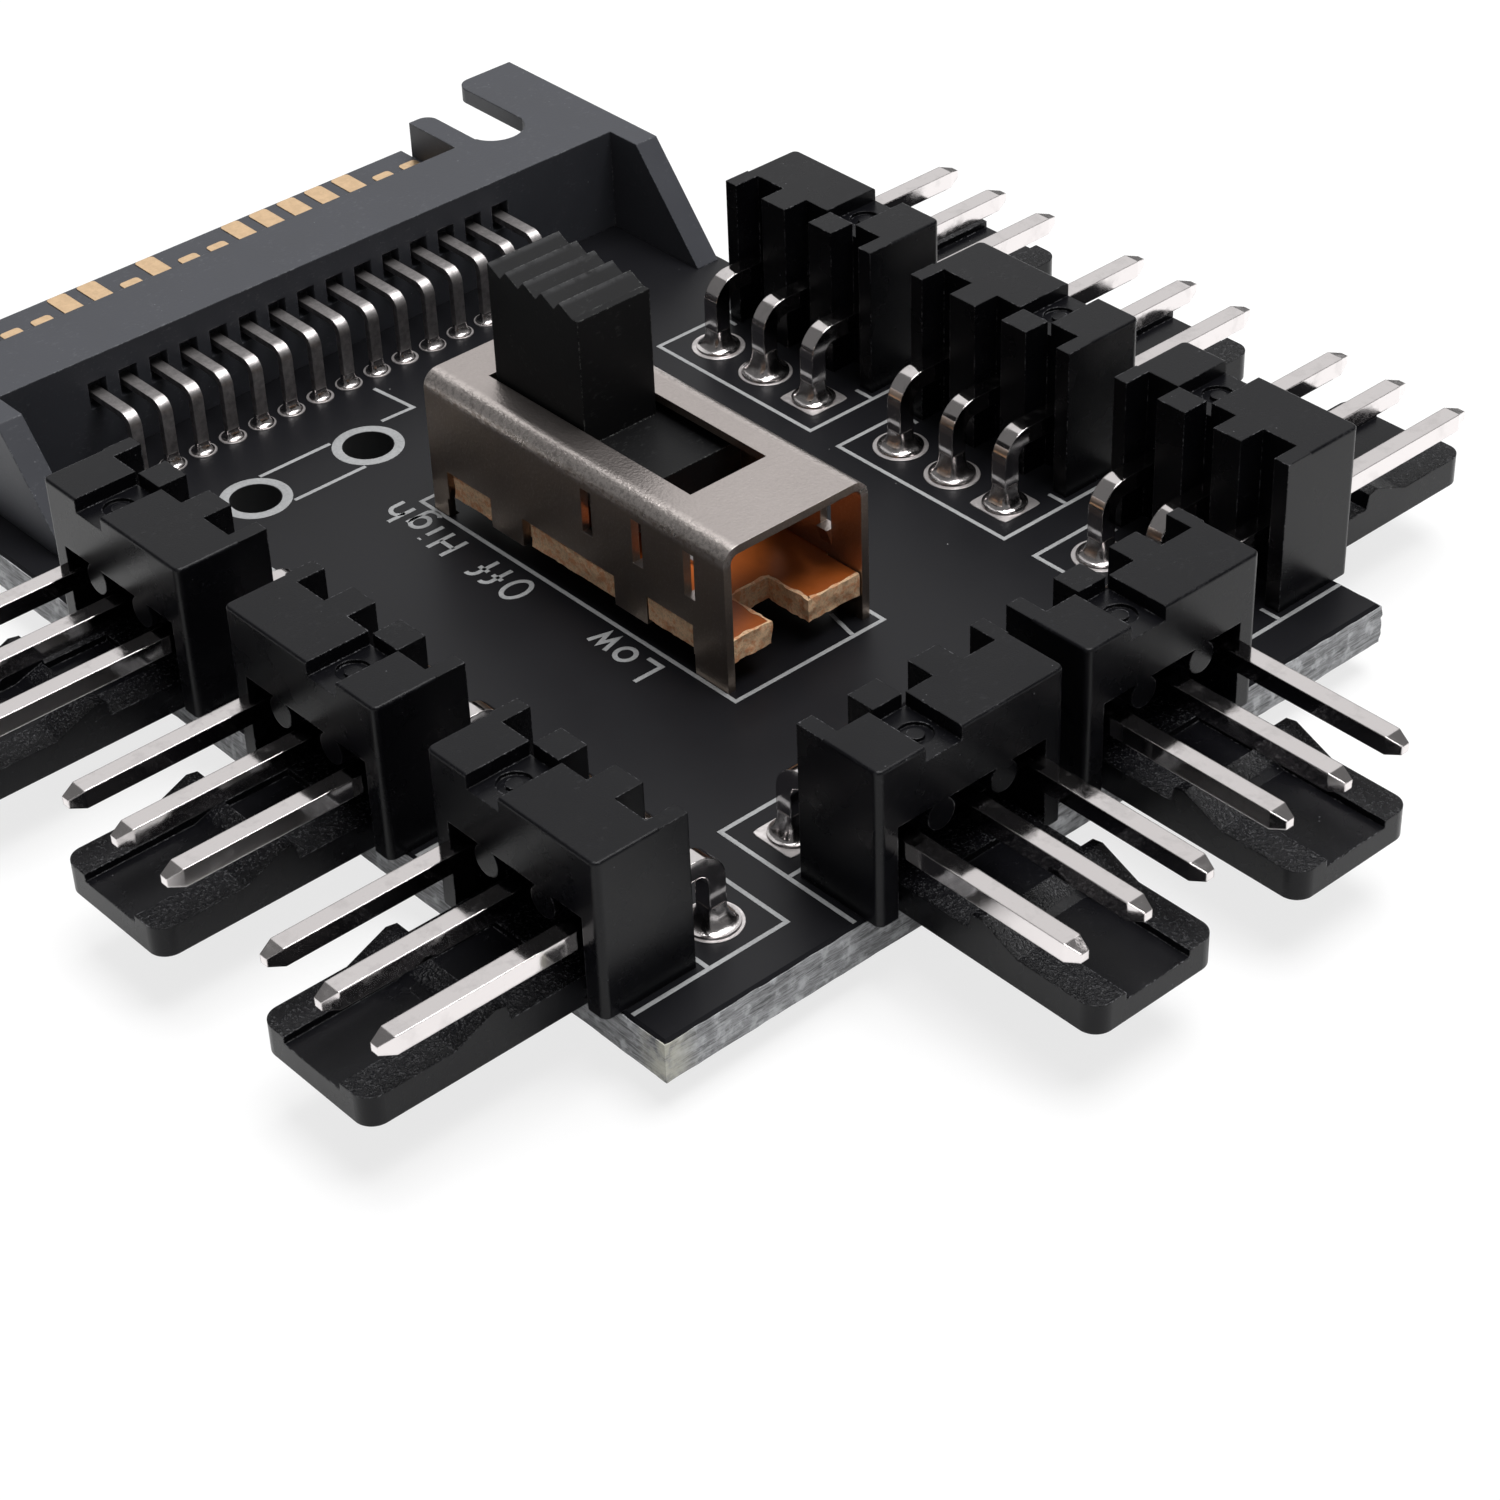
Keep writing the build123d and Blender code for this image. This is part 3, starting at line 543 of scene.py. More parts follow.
def phenolic_plate():
    """Base plate: waxy orange-brown faces and pale, torn, sheared sides."""
    c = hub_colours()
    f = Finish("phenolic_plate")
    side = 1.0 - abs(f.facing(2)).above(0.5, 0.2)
    cloud = f.noise(0.8 * MM, 3.0, 0.6)
    tear = f.noise(0.42 * MM, 5.0, 0.7)
    pores = 1.0 - f.cells(0.2 * MM).above(0.12, 0.1)
    face = f.mix(cloud, c.phenolic, shade(c.phenolic, 0.6))
    cut = f.mix(tear.above(0.5, 0.12), shade(c.sheared, 0.75), c.sheared)
    cut = f.mix((pores * 0.5 + tear.above(0.58, 0.1) * 0.3).clamped(), cut, shade(c.phenolic, 1.3))
    height = tear * side + cloud * 0.05
    return f.finish(Base_Color=f.mix(side, face, cut), Roughness=0.32 + side * 0.45, Specular_IOR_Level=0.35,
                    Normal=f.bump(height, 0.16 * MM, 0.9))


def torn_paper():
    """Torn sides of the base plate: pale chunks of paper with orange resin between them."""
    c = hub_colours()
    f = Finish("torn_paper")
    chunk = f.noise(0.3 * MM, 4.0, 0.65)
    fine = f.noise(0.08 * MM, 3.0, 0.7)
    tint = f.mix(fine.above(0.45, 0.25), shade(c.sheared, 0.72), c.sheared)
    tint = f.mix(chunk.above(0.54, 0.12) * 0.5, tint, shade(c.phenolic, 1.5))
    height = chunk * 0.6 + fine * 0.4
    return f.finish(Base_Color=tint, Roughness=0.6 + fine * 0.2, Specular_IOR_Level=0.4,
                    Normal=f.bump(height, 0.06 * MM, 0.9))


def screen_ink():
    """Printed lines: matt off-white ink, thinner and greyer in places."""
    c = hub_colours()
    f = Finish("screen_ink")
    thin = f.noise(0.12 * MM, 3.0, 0.7)
    broad = f.noise(1.5 * MM, 2.0, 0.5)
    tint = f.mix((thin * 0.6 + broad * 0.4).above(0.5, 0.4), shade(c.ink, 0.62), c.ink)
    return f.finish(Base_Color=tint, Roughness=0.55 + thin * 0.2, Specular_IOR_Level=0.4,
                    Normal=f.bump(thin, 0.01 * MM, 0.6))


# Surfaces


def add_piece(name, points, faces, material, body="root"):
    """Puts points and faces into a mesh object that rides on a body and takes the given finish."""
    mesh = bpy.data.meshes.new(name)
    mesh.from_pydata(points.tolist(), [], faces)
    mesh.validate()
    mesh.polygons.foreach_set("use_smooth", np.ones(len(mesh.polygons), dtype=bool))
    mesh.materials.append(material)
    piece = bpy.data.objects.new(name, mesh)
    bpy.context.scene.collection.objects.link(piece)
    mesh.set_sharp_from_angle(angle=math.radians(35))
    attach(piece, body)
    return piece


def grid_faces(rows, columns, close_rows=False):
    """Quads of a tube whose point (i, j) is number i * columns + j, closed round its columns."""
    i = np.arange(rows if close_rows else rows - 1)
    j = np.arange(columns)
    i, j = np.meshgrid(i, j, indexing="ij")
    i2 = (i + 1) % rows
    j2 = (j + 1) % columns
    quads = np.stack((i * columns + j, i2 * columns + j, i2 * columns + j2, i * columns + j2), axis=-1)
    return quads.reshape(-1, 4).tolist()


def end_faces(rows, columns):
    """Flat faces that close a tube's first and last rows."""
    first = list(range(columns))
    return [first, [(rows - 1) * columns + k for k in reversed(first)]]


class Batch:
    """Collects several closed surfaces into one mesh."""

    def __init__(self):
        self.points = []
        self.faces = []
        self.count = 0

    def add(self, points, faces):
        self.points.append(points)
        self.faces += [[int(k) + self.count for k in face] for face in faces]
        self.count += len(points)

    def lathe(self, middle, base, radii, heights, powers, steps):
        """Rings stacked from base and capped: ring k is the superellipse |x|^p + |y|^p = 1 times radii[k], a
        number or an (x, y) pair, at heights[k]."""
        turn = np.linspace(0.0, 2 * np.pi, steps, endpoint=False)
        cos, sin = np.cos(turn), np.sin(turn)
        radii = np.array([(r, r) if np.isscalar(r) else r for r in radii])
        powers = np.array(powers)[:, None]
        scale = (np.abs(cos)[None] ** powers + np.abs(sin)[None] ** powers) ** (-1.0 / powers)
        x = middle[0] + radii[:, :1] * scale * cos
        y = middle[1] + radii[:, 1:] * scale * sin
        z = np.repeat(base + heights[:, None], steps, axis=1)
        faces = grid_faces(len(heights), steps) + end_faces(len(heights), steps)
        if heights[-1] > heights[0]:
            faces = [face[::-1] for face in faces]
        self.add(np.stack((x, y, z), axis=-1).reshape(-1, 3), faces)

    def ribbon(self, path, width, base, height, closed=False):
        """A low bar with bevelled top edges carried along a path in plan, mitred at its corners."""
        path = np.array(path, dtype=float)
        ahead = np.roll(path, -1, axis=0) - path
        if not closed:
            ahead[-1] = ahead[-2]
        ahead /= np.linalg.norm(ahead, axis=1)[:, None]
        behind = np.roll(ahead, 1, axis=0)
        if not closed:
            behind[0] = ahead[0]
        across = np.stack((-(ahead + behind)[:, 1], (ahead + behind)[:, 0]), axis=-1)
        across /= np.linalg.norm(across, axis=1)[:, None]
        ahead_across = np.stack((-ahead[:, 1], ahead[:, 0]), axis=-1)
        sharpest = 0.35  # limit to how far a mitre runs out
        stretch = 1.0 / np.maximum(sharpest, np.sum(across * ahead_across, axis=1))
        section = np.array(((-0.5, 0.0), (-0.5, 0.5), (-0.42, 1.0), (0.42, 1.0), (0.5, 0.5), (0.5, 0.0)))
        plan = path[:, None] + across[:, None] * (section[None, :, :1] * width * stretch[:, None, None])
        z = np.broadcast_to((base + section[:, 1] * height)[None, :, None], (len(path), len(section), 1))
        faces = grid_faces(len(path), len(section), closed)
        if not closed:
            faces += end_faces(len(path), len(section))
        self.add(np.concatenate((plan, z), axis=2).reshape(-1, 3), faces)

    def piece(self, name, material, slot_name, body="root"):
        return add_piece(name, np.concatenate(self.points), self.faces, material, body)


def value_noise(x, y, seed):
    """Smooth noise from -1 to 1: a seeded lattice of values, blended with a cosine step."""
    size = 64
    table = np.random.default_rng(seed).uniform(-1.0, 1.0, (size, size))
    xi, yi = np.floor(x).astype(int), np.floor(y).astype(int)
    tx, ty = ((1 - np.cos(np.pi * (v - np.floor(v)))) / 2 for v in (x, y))
    low = table[xi % size, yi % size] * (1 - tx) + table[(xi + 1) % size, yi % size] * tx
    high = table[xi % size, (yi + 1) % size] * (1 - tx) + table[(xi + 1) % size, (yi + 1) % size] * tx
    return low * (1 - ty) + high * ty


def noises(s, t, waves):
    """Sum of noises of s and t: each wave is its frequencies along s and t, its seed and its share."""
    return sum(value_noise(s * along, t * across, seed) * share for along, across, seed, share in waves)


def walk(path, step, closed=False):
    """Points along a path in plan about a step apart, and the direction to the right at each, which is the
    sum of both sides' at a corner."""
    path = np.array(path, dtype=float)
    legs = (np.roll(path, -1, axis=0) if closed else path[1:]) - path[:len(path) if closed else -1]
    sizes = np.linalg.norm(legs, axis=1)
    right = np.stack((legs[:, 1], -legs[:, 0]), axis=-1) / sizes[:, None]
    places = []
    normals = []
    for k, size in enumerate(sizes):
        count = max(2, int(size / step))
        places.append(path[k] + legs[k] * np.linspace(0.0, 1.0, count, endpoint=False)[:, None])
        out = np.repeat(right[k][None], count, axis=0)
        if closed or k > 0:
            out[0] = right[k] + right[k - 1]
        normals.append(out)
    if not closed:
        places.append(path[-1:])
        normals.append(right[-1:])
    return np.concatenate(places), np.concatenate(normals)


def skin_points(places, normals, distances, heights):
    """Points of a skin: row k stands at place k, at distances out along its normal and at heights."""
    plan = places[:, None] + normals[:, None] * distances[..., None]
    return np.concatenate((plan, heights[..., None]), axis=2).reshape(-1, 3)


# Operators: one for each piece or group


class HUB_OT_finish_housings(bpy.types.Operator):
    """Gives the moulded parts their nylon finishes"""
    bl_idname = "hub.finish_housings"
    bl_label = "Finish housings"

    def execute(self, context):
        dress(HEADERS, header_nylon())
        dress(["plug_housing"], plug_nylon())
        dress(["switch_slider"], knob_nylon())
        return {"FINISHED"}


class HUB_OT_finish_metals(bpy.types.Operator):
    """Gives the pins, contacts and the switch's metal parts their plated finishes"""
    bl_idname = "hub.finish_metals"
    bl_label = "Finish metals"

    def execute(self, context):
        dress(PINS, pin_tin())
        dress(CONTACTS, contact_plate())
        dress(["switch_shell"], nickel_plate())
        dress(TERMINALS + ["contact_clip", "detent_spring"], inner_metal())
        return {"FINISHED"}


class HUB_OT_finish_boards(bpy.types.Operator):
    """Gives the circuit board and the switch's base plate their laminate finishes"""
    bl_idname = "hub.finish_boards"
    bl_label = "Finish boards"

    def execute(self, context):
        dress(["circuit_board"], solder_mask())
        dress(["switch_base"], phenolic_plate())
        return {"FINISHED"}


class HUB_OT_board_rim(bpy.types.Operator):
    """Adds the torn glass-fibre skin round the board's sawn edges"""
    bl_idname = "hub.board_rim"
    bl_label = "Board rim"

    def execute(self, context):
        add_rim(hub_sizes().edge_roughness)
        return {"FINISHED"}


class HUB_OT_torn_sides(bpy.types.Operator):
    """Adds the torn paper on the sheared sides of the switch's base plate"""
    bl_idname = "hub.torn_sides"
    bl_label = "Torn sides"

    def execute(self, context):
        add_torn_sides(hub_sizes())
        return {"FINISHED"}


class HUB_OT_pads(bpy.types.Operator):
    """Adds the tinned pads on both faces of the board"""
    bl_idname = "hub.pads"
    bl_label = "Pads"

    def execute(self, context):
        add_pads(hub_sizes())
        return {"FINISHED"}


class HUB_OT_solder(bpy.types.Operator):
    """Adds the solder joints round every pin and lead on both faces of the board"""
    bl_idname = "hub.solder"
    bl_label = "Solder joints"

    def execute(self, context):
        add_solder(hub_sizes())
        return {"FINISHED"}


class HUB_OT_screen_print(bpy.types.Operator):
    """Adds the printed outlines of the headers, the switch and the two plain holes"""
    bl_idname = "hub.screen_print"
    bl_label = "Screen print"

    def execute(self, context):
        add_print(hub_sizes())
        return {"FINISHED"}


class HUB_OT_legend(bpy.types.Operator):
    """Adds the words High, Off and Low beside the switch"""
    bl_idname = "hub.legend"
    bl_label = "Switch legend"

    def execute(self, context):
        add_legend(hub_sizes())
        return {"FINISHED"}


class HUB_OT_stage(bpy.types.Operator):
    """Adds the floor, the lights and the camera"""
    bl_idname = "hub.stage"
    bl_label = "Stage"

    def execute(self, context):
        add_stage(context.scene.hub_stage)
        return {"FINISHED"}


class HUB_PT_panel(bpy.types.Panel):
    """Sidebar panel with the hub's settings and steps"""
    bl_label = "Fan Hub"
    bl_idname = "HUB_PT_panel"
    bl_space_type = "VIEW_3D"
    bl_region_type = "UI"
    bl_category = "Fan Hub"

    def draw(self, context):
        for group in (context.scene.hub_sizes, context.scene.hub_colours, context.scene.hub_stage):
            box = self.layout.box()
            for name in group.__annotations__:
                box.prop(group, name)
        for operator in STEPS:
            self.layout.operator(operator.bl_idname)


STEPS = (HUB_OT_finish_housings, HUB_OT_finish_metals, HUB_OT_finish_boards, HUB_OT_board_rim,
         HUB_OT_torn_sides, HUB_OT_pads, HUB_OT_solder, HUB_OT_screen_print, HUB_OT_legend, HUB_OT_stage)
GROUPS = {"hub_sizes": HubSizes, "hub_colours": HubColours, "hub_stage": HubStage}
CLASSES = (*GROUPS.values(), *STEPS, HUB_PT_panel)


def dress(nodes, material):
    """Gives CAD nodes a material in place of their plain one."""
    for name in nodes:
        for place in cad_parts[name].material_slots:
            place.material = material


def add_rim(depth):
    """Skin of the sawn edge: distance s round the board by height t. It stands out by a first coat plus noise
    of s and t, with long streaks, and falls back at the top and bottom edges."""
    step = 0.11 * MM
    inset = 0.1 * MM  # of the skin's edges from the board's faces
    back = 0.2 * MM  # depth of the skin's back in the board
    raggedness = 0.014 * MM
    thinnest = 0.12  # share of the depth
    low, high = BOARD_LOW[:2], BOARD_HIGH[:2]
    corners = (low, (high[0], low[1]), high, (low[0], high[1]))
    places, normals = walk(corners, step, closed=True)
    s, t = np.meshgrid(np.arange(len(places)) * step / MM, np.linspace(0.0, 1.0, 13), indexing="ij")
    streak = noises(s, t, ((1.1, 9.0, 3, 0.5), (4.3, 11.0, 5, 0.3)))
    lump = noises(s, t, ((0.45, 1.7, 8, 0.5), (9.0, 9.0, 9, 0.2)))
    coat = 0.25 + 0.75 * np.clip(np.minimum(t, 1 - t) * 9.0, 0.0, 1.0)
    out = np.maximum(coat * (0.7 + (streak + lump) * 0.75), thinnest) * depth
    ragged = value_noise(s * 2.3, t * 0.0, 12) * raggedness
    z = BOARD_UNDER + inset + t * (BOARD_TOP - BOARD_UNDER - 2 * inset)
    z = z + ragged * (t > 0.99) - ragged * (t < 0.01)
    distances = np.concatenate((out, np.full((len(places), 2), -back)), axis=1)
    heights = np.concatenate((z, z[:, [-1, 0]]), axis=1)
    faces = grid_faces(*heights.shape, True)
    add_piece("board_rim", skin_points(places, normals, distances, heights), faces, torn_fibre())


def torn_skin(batch, path, low, high, depth, seed):
    """Torn skin along a path in plan, open side to its right: depth times chunky noise of distance s and
    height t, with a ragged lip on the top face whose width is noise of s."""
    step = 0.07 * MM
    lip_width = 0.13 * MM
    lift = 0.012 * MM  # of the lip over the plate's face
    inside = 0.15 * MM  # depth of the skin's back in the plate
    thinnest = 0.12  # share of the depth
    narrowest = 0.15  # share of the lip's width
    places, normals = walk(path, step)
    along = np.arange(len(places)) * step / MM
    s, t = np.meshgrid(along, np.linspace(0.0, 1.0, 8), indexing="ij")
    chunk = noises(s, t, ((2.1, 1.6, seed, 0.6), (6.0, 4.0, seed + 1, 0.4)))
    out = np.clip(0.5 + chunk * 0.8, thinnest, 1.0) * depth
    lip = np.clip(0.5 + 0.8 * value_noise(along * 3.1, along * 0.0, seed + 2), narrowest, 1.0) * lip_width
    z = low + lift + t * (high - low)
    level = np.ones(len(places))
    distances = np.column_stack((out, -lip, -lip, -inside * level))
    heights = np.column_stack((z, (high + lift) * level, (high - inside) * level, (low + lift) * level))
    faces = grid_faces(*heights.shape) + end_faces(*heights.shape)
    batch.add(skin_points(places, normals, distances, heights), faces)


def add_torn_sides(s):
    """Torn skins on both notched ends of the base plate and on its edge tabs."""
    batch = Batch()
    low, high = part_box("switch_base")
    middle_x = (low[0] + high[0]) / 2
    middle_y = (low[1] + high[1]) / 2
    side = (high[1] - low[1]) / 2 - s.tab_depth
    for turn in (1.0, -1.0):
        end = (high[0] - low[0]) / 2
        notch_low, notch_high = (v - s.end_notch_shift * turn for v in (-s.end_notch_half, s.end_notch_half))
        back = end - s.end_notch_depth
        outline = ((end, -side), (end, notch_low), (back, notch_low), (back, notch_high), (end, notch_high),
                   (end, side))
        path = [(middle_x + turn * x, middle_y + turn * y) for x, y in outline]
        torn_skin(batch, path, low[2], high[2], s.tear_depth, 21 if turn > 0 else 31)
        for number, (start, stop) in enumerate(BASE_TABS):
            ends = (start, stop) if turn > 0 else (stop, start)
            path = [(middle_x + x, middle_y - turn * (side + s.tab_depth)) for x in ends]
            torn_skin(batch, path, low[2], high[2], s.tear_depth * 0.6, 41 + 3 * number + int(turn))
    batch.piece("base_torn_sides", torn_paper(), "phenolic_plate")


def joints(s):
    """Every soldered leg: place in plan, half sizes of the leg, pad radius, solder height and pad power."""
    found = []
    for header in HEADERS:
        for number in (1, 2, 3):
            place = leg_place(header, f"{header}_pin_{number}")
            pad, power = (s.square_pad, SQUARE) if number == 1 else (s.pad_radius, ROUND)
            found.append((place, (s.pin_half, s.pin_half), pad, s.solder_height, power))
    for contact in CONTACTS:
        found.append((contact_place(contact, s.lead_thickness), (s.lead_thickness / 2, s.lead_half),
                      s.lead_pad_radius, s.lead_solder_height, ROUND))
    return found


def hidden_joints(s):
    """Legs soldered on the underside alone: the switch's terminals and the shell's prongs."""
    found = []
    for terminal in TERMINALS:
        low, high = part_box(terminal)
        place = np.array(((low[0] + high[0]) / 2, (low[1] + high[1]) / 2))
        found.append((place, TERMINAL_HALF, TERMINAL_PAD, s.lead_solder_height, ROUND))
    low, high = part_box("switch_shell")
    for x in (low[0] + PRONG_FROM_LEFT, high[0] - PRONG_FROM_RIGHT):
        for y in (low[1] + PRONG_HALF[1], high[1] - PRONG_HALF[1]):
            found.append((np.array((x, y)), PRONG_HALF, PRONG_PAD, s.lead_solder_height, ROUND))
    return found


def add_pads(s):
    """Pads: low superellipse discs with a rounded rim, on both faces."""
    batch = Batch()
    rise = np.array((0.0, 0.6, 1.0, 1.0)) * s.pad_height
    shrink = np.array((1.0, 1.0, 0.985, 0.95))
    steps = 40
    for place, _, radius, _, power in joints(s):
        batch.lathe(place, BOARD_TOP, radius * shrink, rise, [power] * len(rise), steps)
        batch.lathe(place, BOARD_UNDER, radius * shrink, -rise, [power] * len(rise), steps)
    for place, _, radius, _, power in hidden_joints(s):
        batch.lathe(place, BOARD_UNDER, radius * shrink, -rise, [power] * len(rise), steps)
    batch.piece("solder_pads", pad_tin(), "pad_copper")


def fillet_profile(half, pad, height):
    """Rings of a solder fillet: a rolled rim on the pad, then a hollow cone up to the leg's outline.
    The cone's height rises as t^2.2 and its radius falls from the rim to the leg as (1 - t)^1.5."""
    rolled = 0.12  # height of the rolled rim, as a share of the cone's
    t = np.linspace(0.0, 1.0, 12)
    leg = np.array(half) * 1.1
    rim = np.array((pad, pad)) * 0.9
    radii = leg[None] + (rim - leg)[None] * ((1 - t) ** 1.5)[:, None]
    heights = height * t ** 2.2
    powers = ROUND + (LEG - ROUND) * t
    radii = np.concatenate(((rim, rim * 1.04, rim * 1.02), radii[1:]))
    heights = np.concatenate((np.array((0.0, 0.05, rolled)) * height, heights[1:] + rolled * height))
    return radii, heights, np.concatenate(([ROUND] * 3, powers[1:]))


def add_solder(s):
    """Solder joints: fillets on the top face, and lower ones round the tails underneath."""
    upper = Batch()
    lower = Batch()
    sunk = s.pad_height / 2
    tallest_under = 0.62 * MM
    random = np.random.default_rng(21)
    for place, half, pad, height, _ in joints(s):
        spread = random.uniform(0.86, 0.98)
        climb = random.uniform(0.75, 1.1)
        radii, heights, powers = fillet_profile(half, pad * spread, height * climb)
        upper.lathe(place, BOARD_TOP + sunk, radii, heights, powers, 32)
    for place, half, pad, height, _ in joints(s) + hidden_joints(s):
        climb = random.uniform(0.9, 1.05)
        radii, heights, powers = fillet_profile(half, pad, min(height, tallest_under) * climb)
        lower.lathe(place, BOARD_UNDER - sunk, radii, -heights, powers, 28)
    finish = solder_tin()
    upper.piece("solder_top", finish, "solder")
    lower.piece("solder_under", finish, "solder")


def add_print(s):
    """Printed lines: bars carried along the outlines, a little above the mask."""
    batch = Batch()
    edge_gap = 0.12 * MM  # between a header's outline and the board's edge
    cross_end = 3.2 * MM  # inner end of a cross line, from the header's middle
    ring_radius = 1.1 * MM
    ring_width = 0.36 * MM
    rail_shift = 1.03 * MM  # of the two lines that join the rings, from the holes' middles
    rail_gap = 0.9 * MM  # between a hole's middle and their ends

    def line(path, closed=False):
        batch.ribbon(path, s.line_width, BOARD_TOP, s.ink_height, closed)

    for header in HEADERS:
        middle, outward, along = header_frame(header)
        cross = middle - outward * s.outline_cross
        cross_start = s.outline_half - s.line_width / 2
        for side in (-1, 1):
            line([cross + along * side * cross_start, cross + along * side * cross_end])
        one, other = middle + along * s.outline_half, middle - along * s.outline_half
        line([one - outward * edge_gap, one - outward * s.outline_depth,
              other - outward * s.outline_depth, other - outward * edge_gap])
    low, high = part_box("switch_shell")
    left, right = low[0] - 0.64 * MM, high[0] + 0.44 * MM
    near, far = low[1] - 0.1 * MM, high[1] + 0.2 * MM
    line([(left, near), (right, near), (right, far), (left, far)], True)
    mark_start, mark_end = 1.3 * MM, (1.4 * MM, 1.0 * MM)
    line([(right - s.line_width / 2, far - mark_start), (right - mark_end[0], far - mark_end[1])])
    hole_x = BOARD_LOW[0] + HOLE_FROM_EDGE
    turn = np.linspace(0.0, 2 * np.pi, 48, endpoint=False)
    for y in (HOLE_NEAR, HOLE_FAR):
        ring = np.stack((hole_x + ring_radius * np.cos(turn), y + ring_radius * np.sin(turn)), axis=-1)
        batch.ribbon(ring, ring_width, BOARD_TOP, s.ink_height, True)
    for shift in (-rail_shift, rail_shift):
        line([(hole_x + shift, HOLE_NEAR + rail_gap), (hole_x + shift, HOLE_FAR - rail_gap)])
    hook = ((-2.9 * MM, 2.45 * MM), (-0.9 * MM, 2.67 * MM), (-0.95 * MM, 1.3 * MM))
    line([(hole_x + x, HOLE_FAR + y) for x, y in hook])
    batch.piece("screen_print", screen_ink(), "screen_print")


def arc(middle, radii, start, end, steps=14):
    """Points of an elliptic arc, with angles in degrees."""
    turn = np.radians(np.linspace(start, end, steps))
    return np.stack((middle[0] + radii[0] * np.cos(turn), middle[1] + radii[1] * np.sin(turn)), axis=-1)


def letters():
    """Strokes of the legend's letters. A capital is 1 high: each letter is its advance and its strokes."""
    return {
        "H": (1.05, [[(0, 0), (0, 1)], [(0.62, 0), (0.62, 1)], [(0, 0.5), (0.62, 0.5)]]),
        "i": (0.5, [[(0.08, 0), (0.08, 0.62)], [(0.08, 0.86), (0.08, 0.93)]]),
        "g": (0.95, [arc((0.27, 0.33), (0.27, 0.3), 0, 360, 20), [(0.54, 0.62), (0.54, -0.12)],
                    arc((0.27, -0.12), (0.27, 0.2), 0, -150, 10)]),
        "h": (0.8, [[(0, 0), (0, 1)], arc((0.26, 0.36), (0.26, 0.27), 180, 0), [(0.52, 0.36), (0.52, 0)]]),
        "O": (1.0, [arc((0.33, 0.5), (0.33, 0.5), 0, 360, 26)]),
        "f": (0.62, [[(0.16, 0.0), (0.16, 0.72), *arc((0.38, 0.74), (0.22, 0.24), 180, 75, 8)],
                     [(-0.04, 0.52), (0.38, 0.52)]]),
        "L": (0.87, [[(0, 1), (0, 0), (0.56, 0)]]),
        "o": (0.85, [arc((0.29, 0.33), (0.29, 0.31), 0, 360, 22)]),
        "w": (0.95, [[(0, 0.64), (0.17, 0.02), (0.36, 0.5), (0.55, 0.02), (0.72, 0.64)]]),
    }


def add_legend(s):
    """Legend: strokes carried along each letter, reading towards the plug with their tops to -Y."""
    batch = Batch()
    shapes = letters()
    switch_left, near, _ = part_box("switch_shell")[0]
    foot_y = near - WORD_GAP
    size = s.letter_height
    for word, start in WORDS:
        x = switch_left + start
        for letter in word:
            advance, strokes = shapes[letter]
            for stroke in strokes:
                stroke = np.array(stroke, dtype=float)
                closed = np.allclose(stroke[0], stroke[-1])
                if closed:
                    stroke = stroke[:-1]
                path = np.stack((x - stroke[:, 0] * size, foot_y - stroke[:, 1] * size), axis=-1)
                batch.ribbon(path, s.letter_width, BOARD_TOP, s.ink_height, closed)
            x -= advance * size
    batch.piece("switch_legend", screen_ink(), "screen_print")


def soft_box(name, place, size, power):
    """Area light at a place, turned to face the origin."""
    data = bpy.data.lights.new(name, "AREA")
    data.shape = "RECTANGLE"
    data.size, data.size_y = size
    data.energy = power
    light = bpy.data.objects.new(name, data)
    light.location = place
    light.rotation_euler = (-Vector(place)).to_track_quat("-Z", "Y").to_euler()
    bpy.context.scene.collection.objects.link(light)


def floor_finish():
    """White floor: as the camera sees it mostly its own light, and lit for the rest, so that it is white and
    keeps a soft shadow."""
    own_share = 0.78
    f = Finish("floor_white")
    mottle = f.noise(60.0 * MM, 2.0) * 0.01 + 0.9
    paper = f.node("ShaderNodeCombineXYZ", X=mottle, Y=mottle, Z=mottle)
    f.finish(Base_Color=paper, Roughness=0.9, Specular_IOR_Level=0.1)
    seen = f.node("ShaderNodeLightPath", out="Is_Camera_Ray")
    glow = f.node("ShaderNodeEmission", Color=(1.0, 1.0, 1.0), Strength=1.0)
    mixed = f.node("ShaderNodeMixShader", _0=seen * own_share, _1=f.surface, _2=glow)
    f.fill(f.output, {"Surface": mixed})
    return f.material


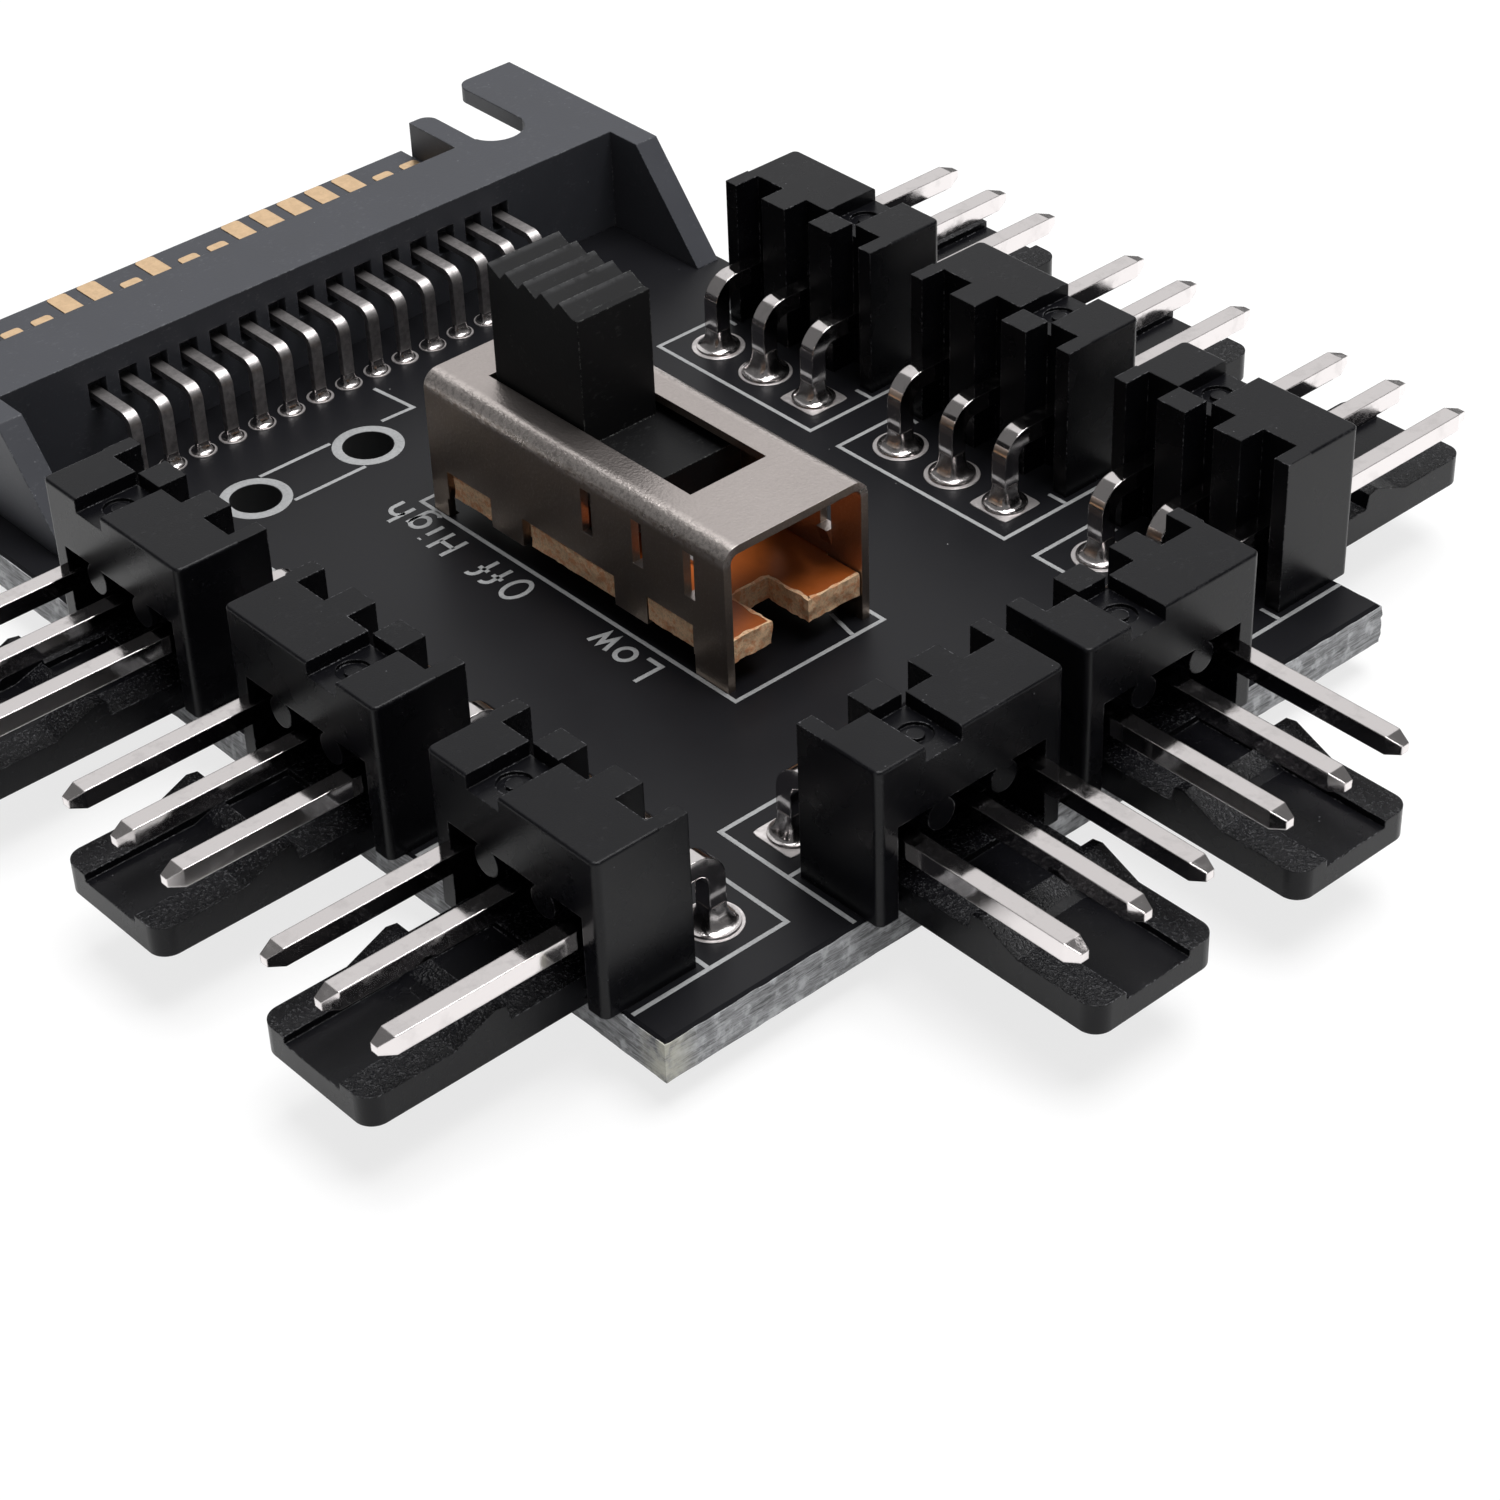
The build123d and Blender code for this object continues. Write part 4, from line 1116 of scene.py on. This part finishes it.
def surroundings(strength):
    """White surroundings: at full strength as the camera sees them, and dimmer as a light."""
    world = bpy.data.worlds.new("surroundings")
    nodes = Nodes(world)
    seen = nodes.node("ShaderNodeLightPath", out="Is_Camera_Ray")
    level = seen * (1.0 - strength) + strength
    white = nodes.node("ShaderNodeBackground", Color=(1.0, 1.0, 1.0), Strength=level)
    nodes.node("ShaderNodeOutputWorld", Surface=white, out=None)
    bpy.context.scene.world = world


def add_stage(s):
    """Floor, soft boxes, surroundings and the camera."""
    reach = 6.0
    floor_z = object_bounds()[0][2]
    corners = [(x * reach, y * reach, floor_z) for x, y in ((-1, -1), (1, -1), (1, 1), (-1, 1))]
    mesh = bpy.data.meshes.new("floor")
    mesh.from_pydata(corners, [], [(0, 1, 2, 3)])
    mesh.materials.append(floor_finish())
    floor = bpy.data.objects.new("floor", mesh)
    bpy.context.scene.collection.objects.link(floor)
    floor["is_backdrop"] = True
    surroundings(s.ambient)
    soft_box("key_light", place=(0.02, 0.06, 0.36), size=(0.3, 0.24), power=s.key)
    soft_box("back_light", place=(-0.3, 0.25, 0.28), size=(0.56, 0.42), power=s.back)
    camera_data = bpy.data.cameras.new("camera")
    camera_data.lens = s.lens
    camera_data.sensor_width = 36.0
    camera_data.clip_start = 0.005
    camera = bpy.data.objects.new("camera", camera_data)
    level = Matrix.Rotation(s.azimuth, 4, "Z") @ Matrix.Rotation(math.pi / 2 - s.elevation, 4, "X")
    camera.matrix_world = Matrix.Translation(s.place) @ level @ Matrix.Rotation(s.roll, 4, "Z")
    bpy.context.scene.collection.objects.link(camera)
    bpy.context.scene.camera = camera
    bpy.context.scene.view_settings.view_transform = "Standard"


def register():
    for kind in CLASSES:
        bpy.utils.register_class(kind)
    for name, group in GROUPS.items():
        setattr(bpy.types.Scene, name, bpy.props.PointerProperty(type=group))


def unregister():
    for name in GROUPS:
        delattr(bpy.types.Scene, name)
    for kind in reversed(CLASSES):
        bpy.utils.unregister_class(kind)


def main():
    register()
    bpy.ops.hub.finish_housings()
    bpy.ops.hub.finish_metals()
    bpy.ops.hub.finish_boards()
    bpy.ops.hub.board_rim()
    bpy.ops.hub.torn_sides()
    bpy.ops.hub.pads()
    bpy.ops.hub.solder()
    bpy.ops.hub.screen_print()
    bpy.ops.hub.legend()
    bpy.ops.hub.stage()


if __name__ == "__main__":
    main()
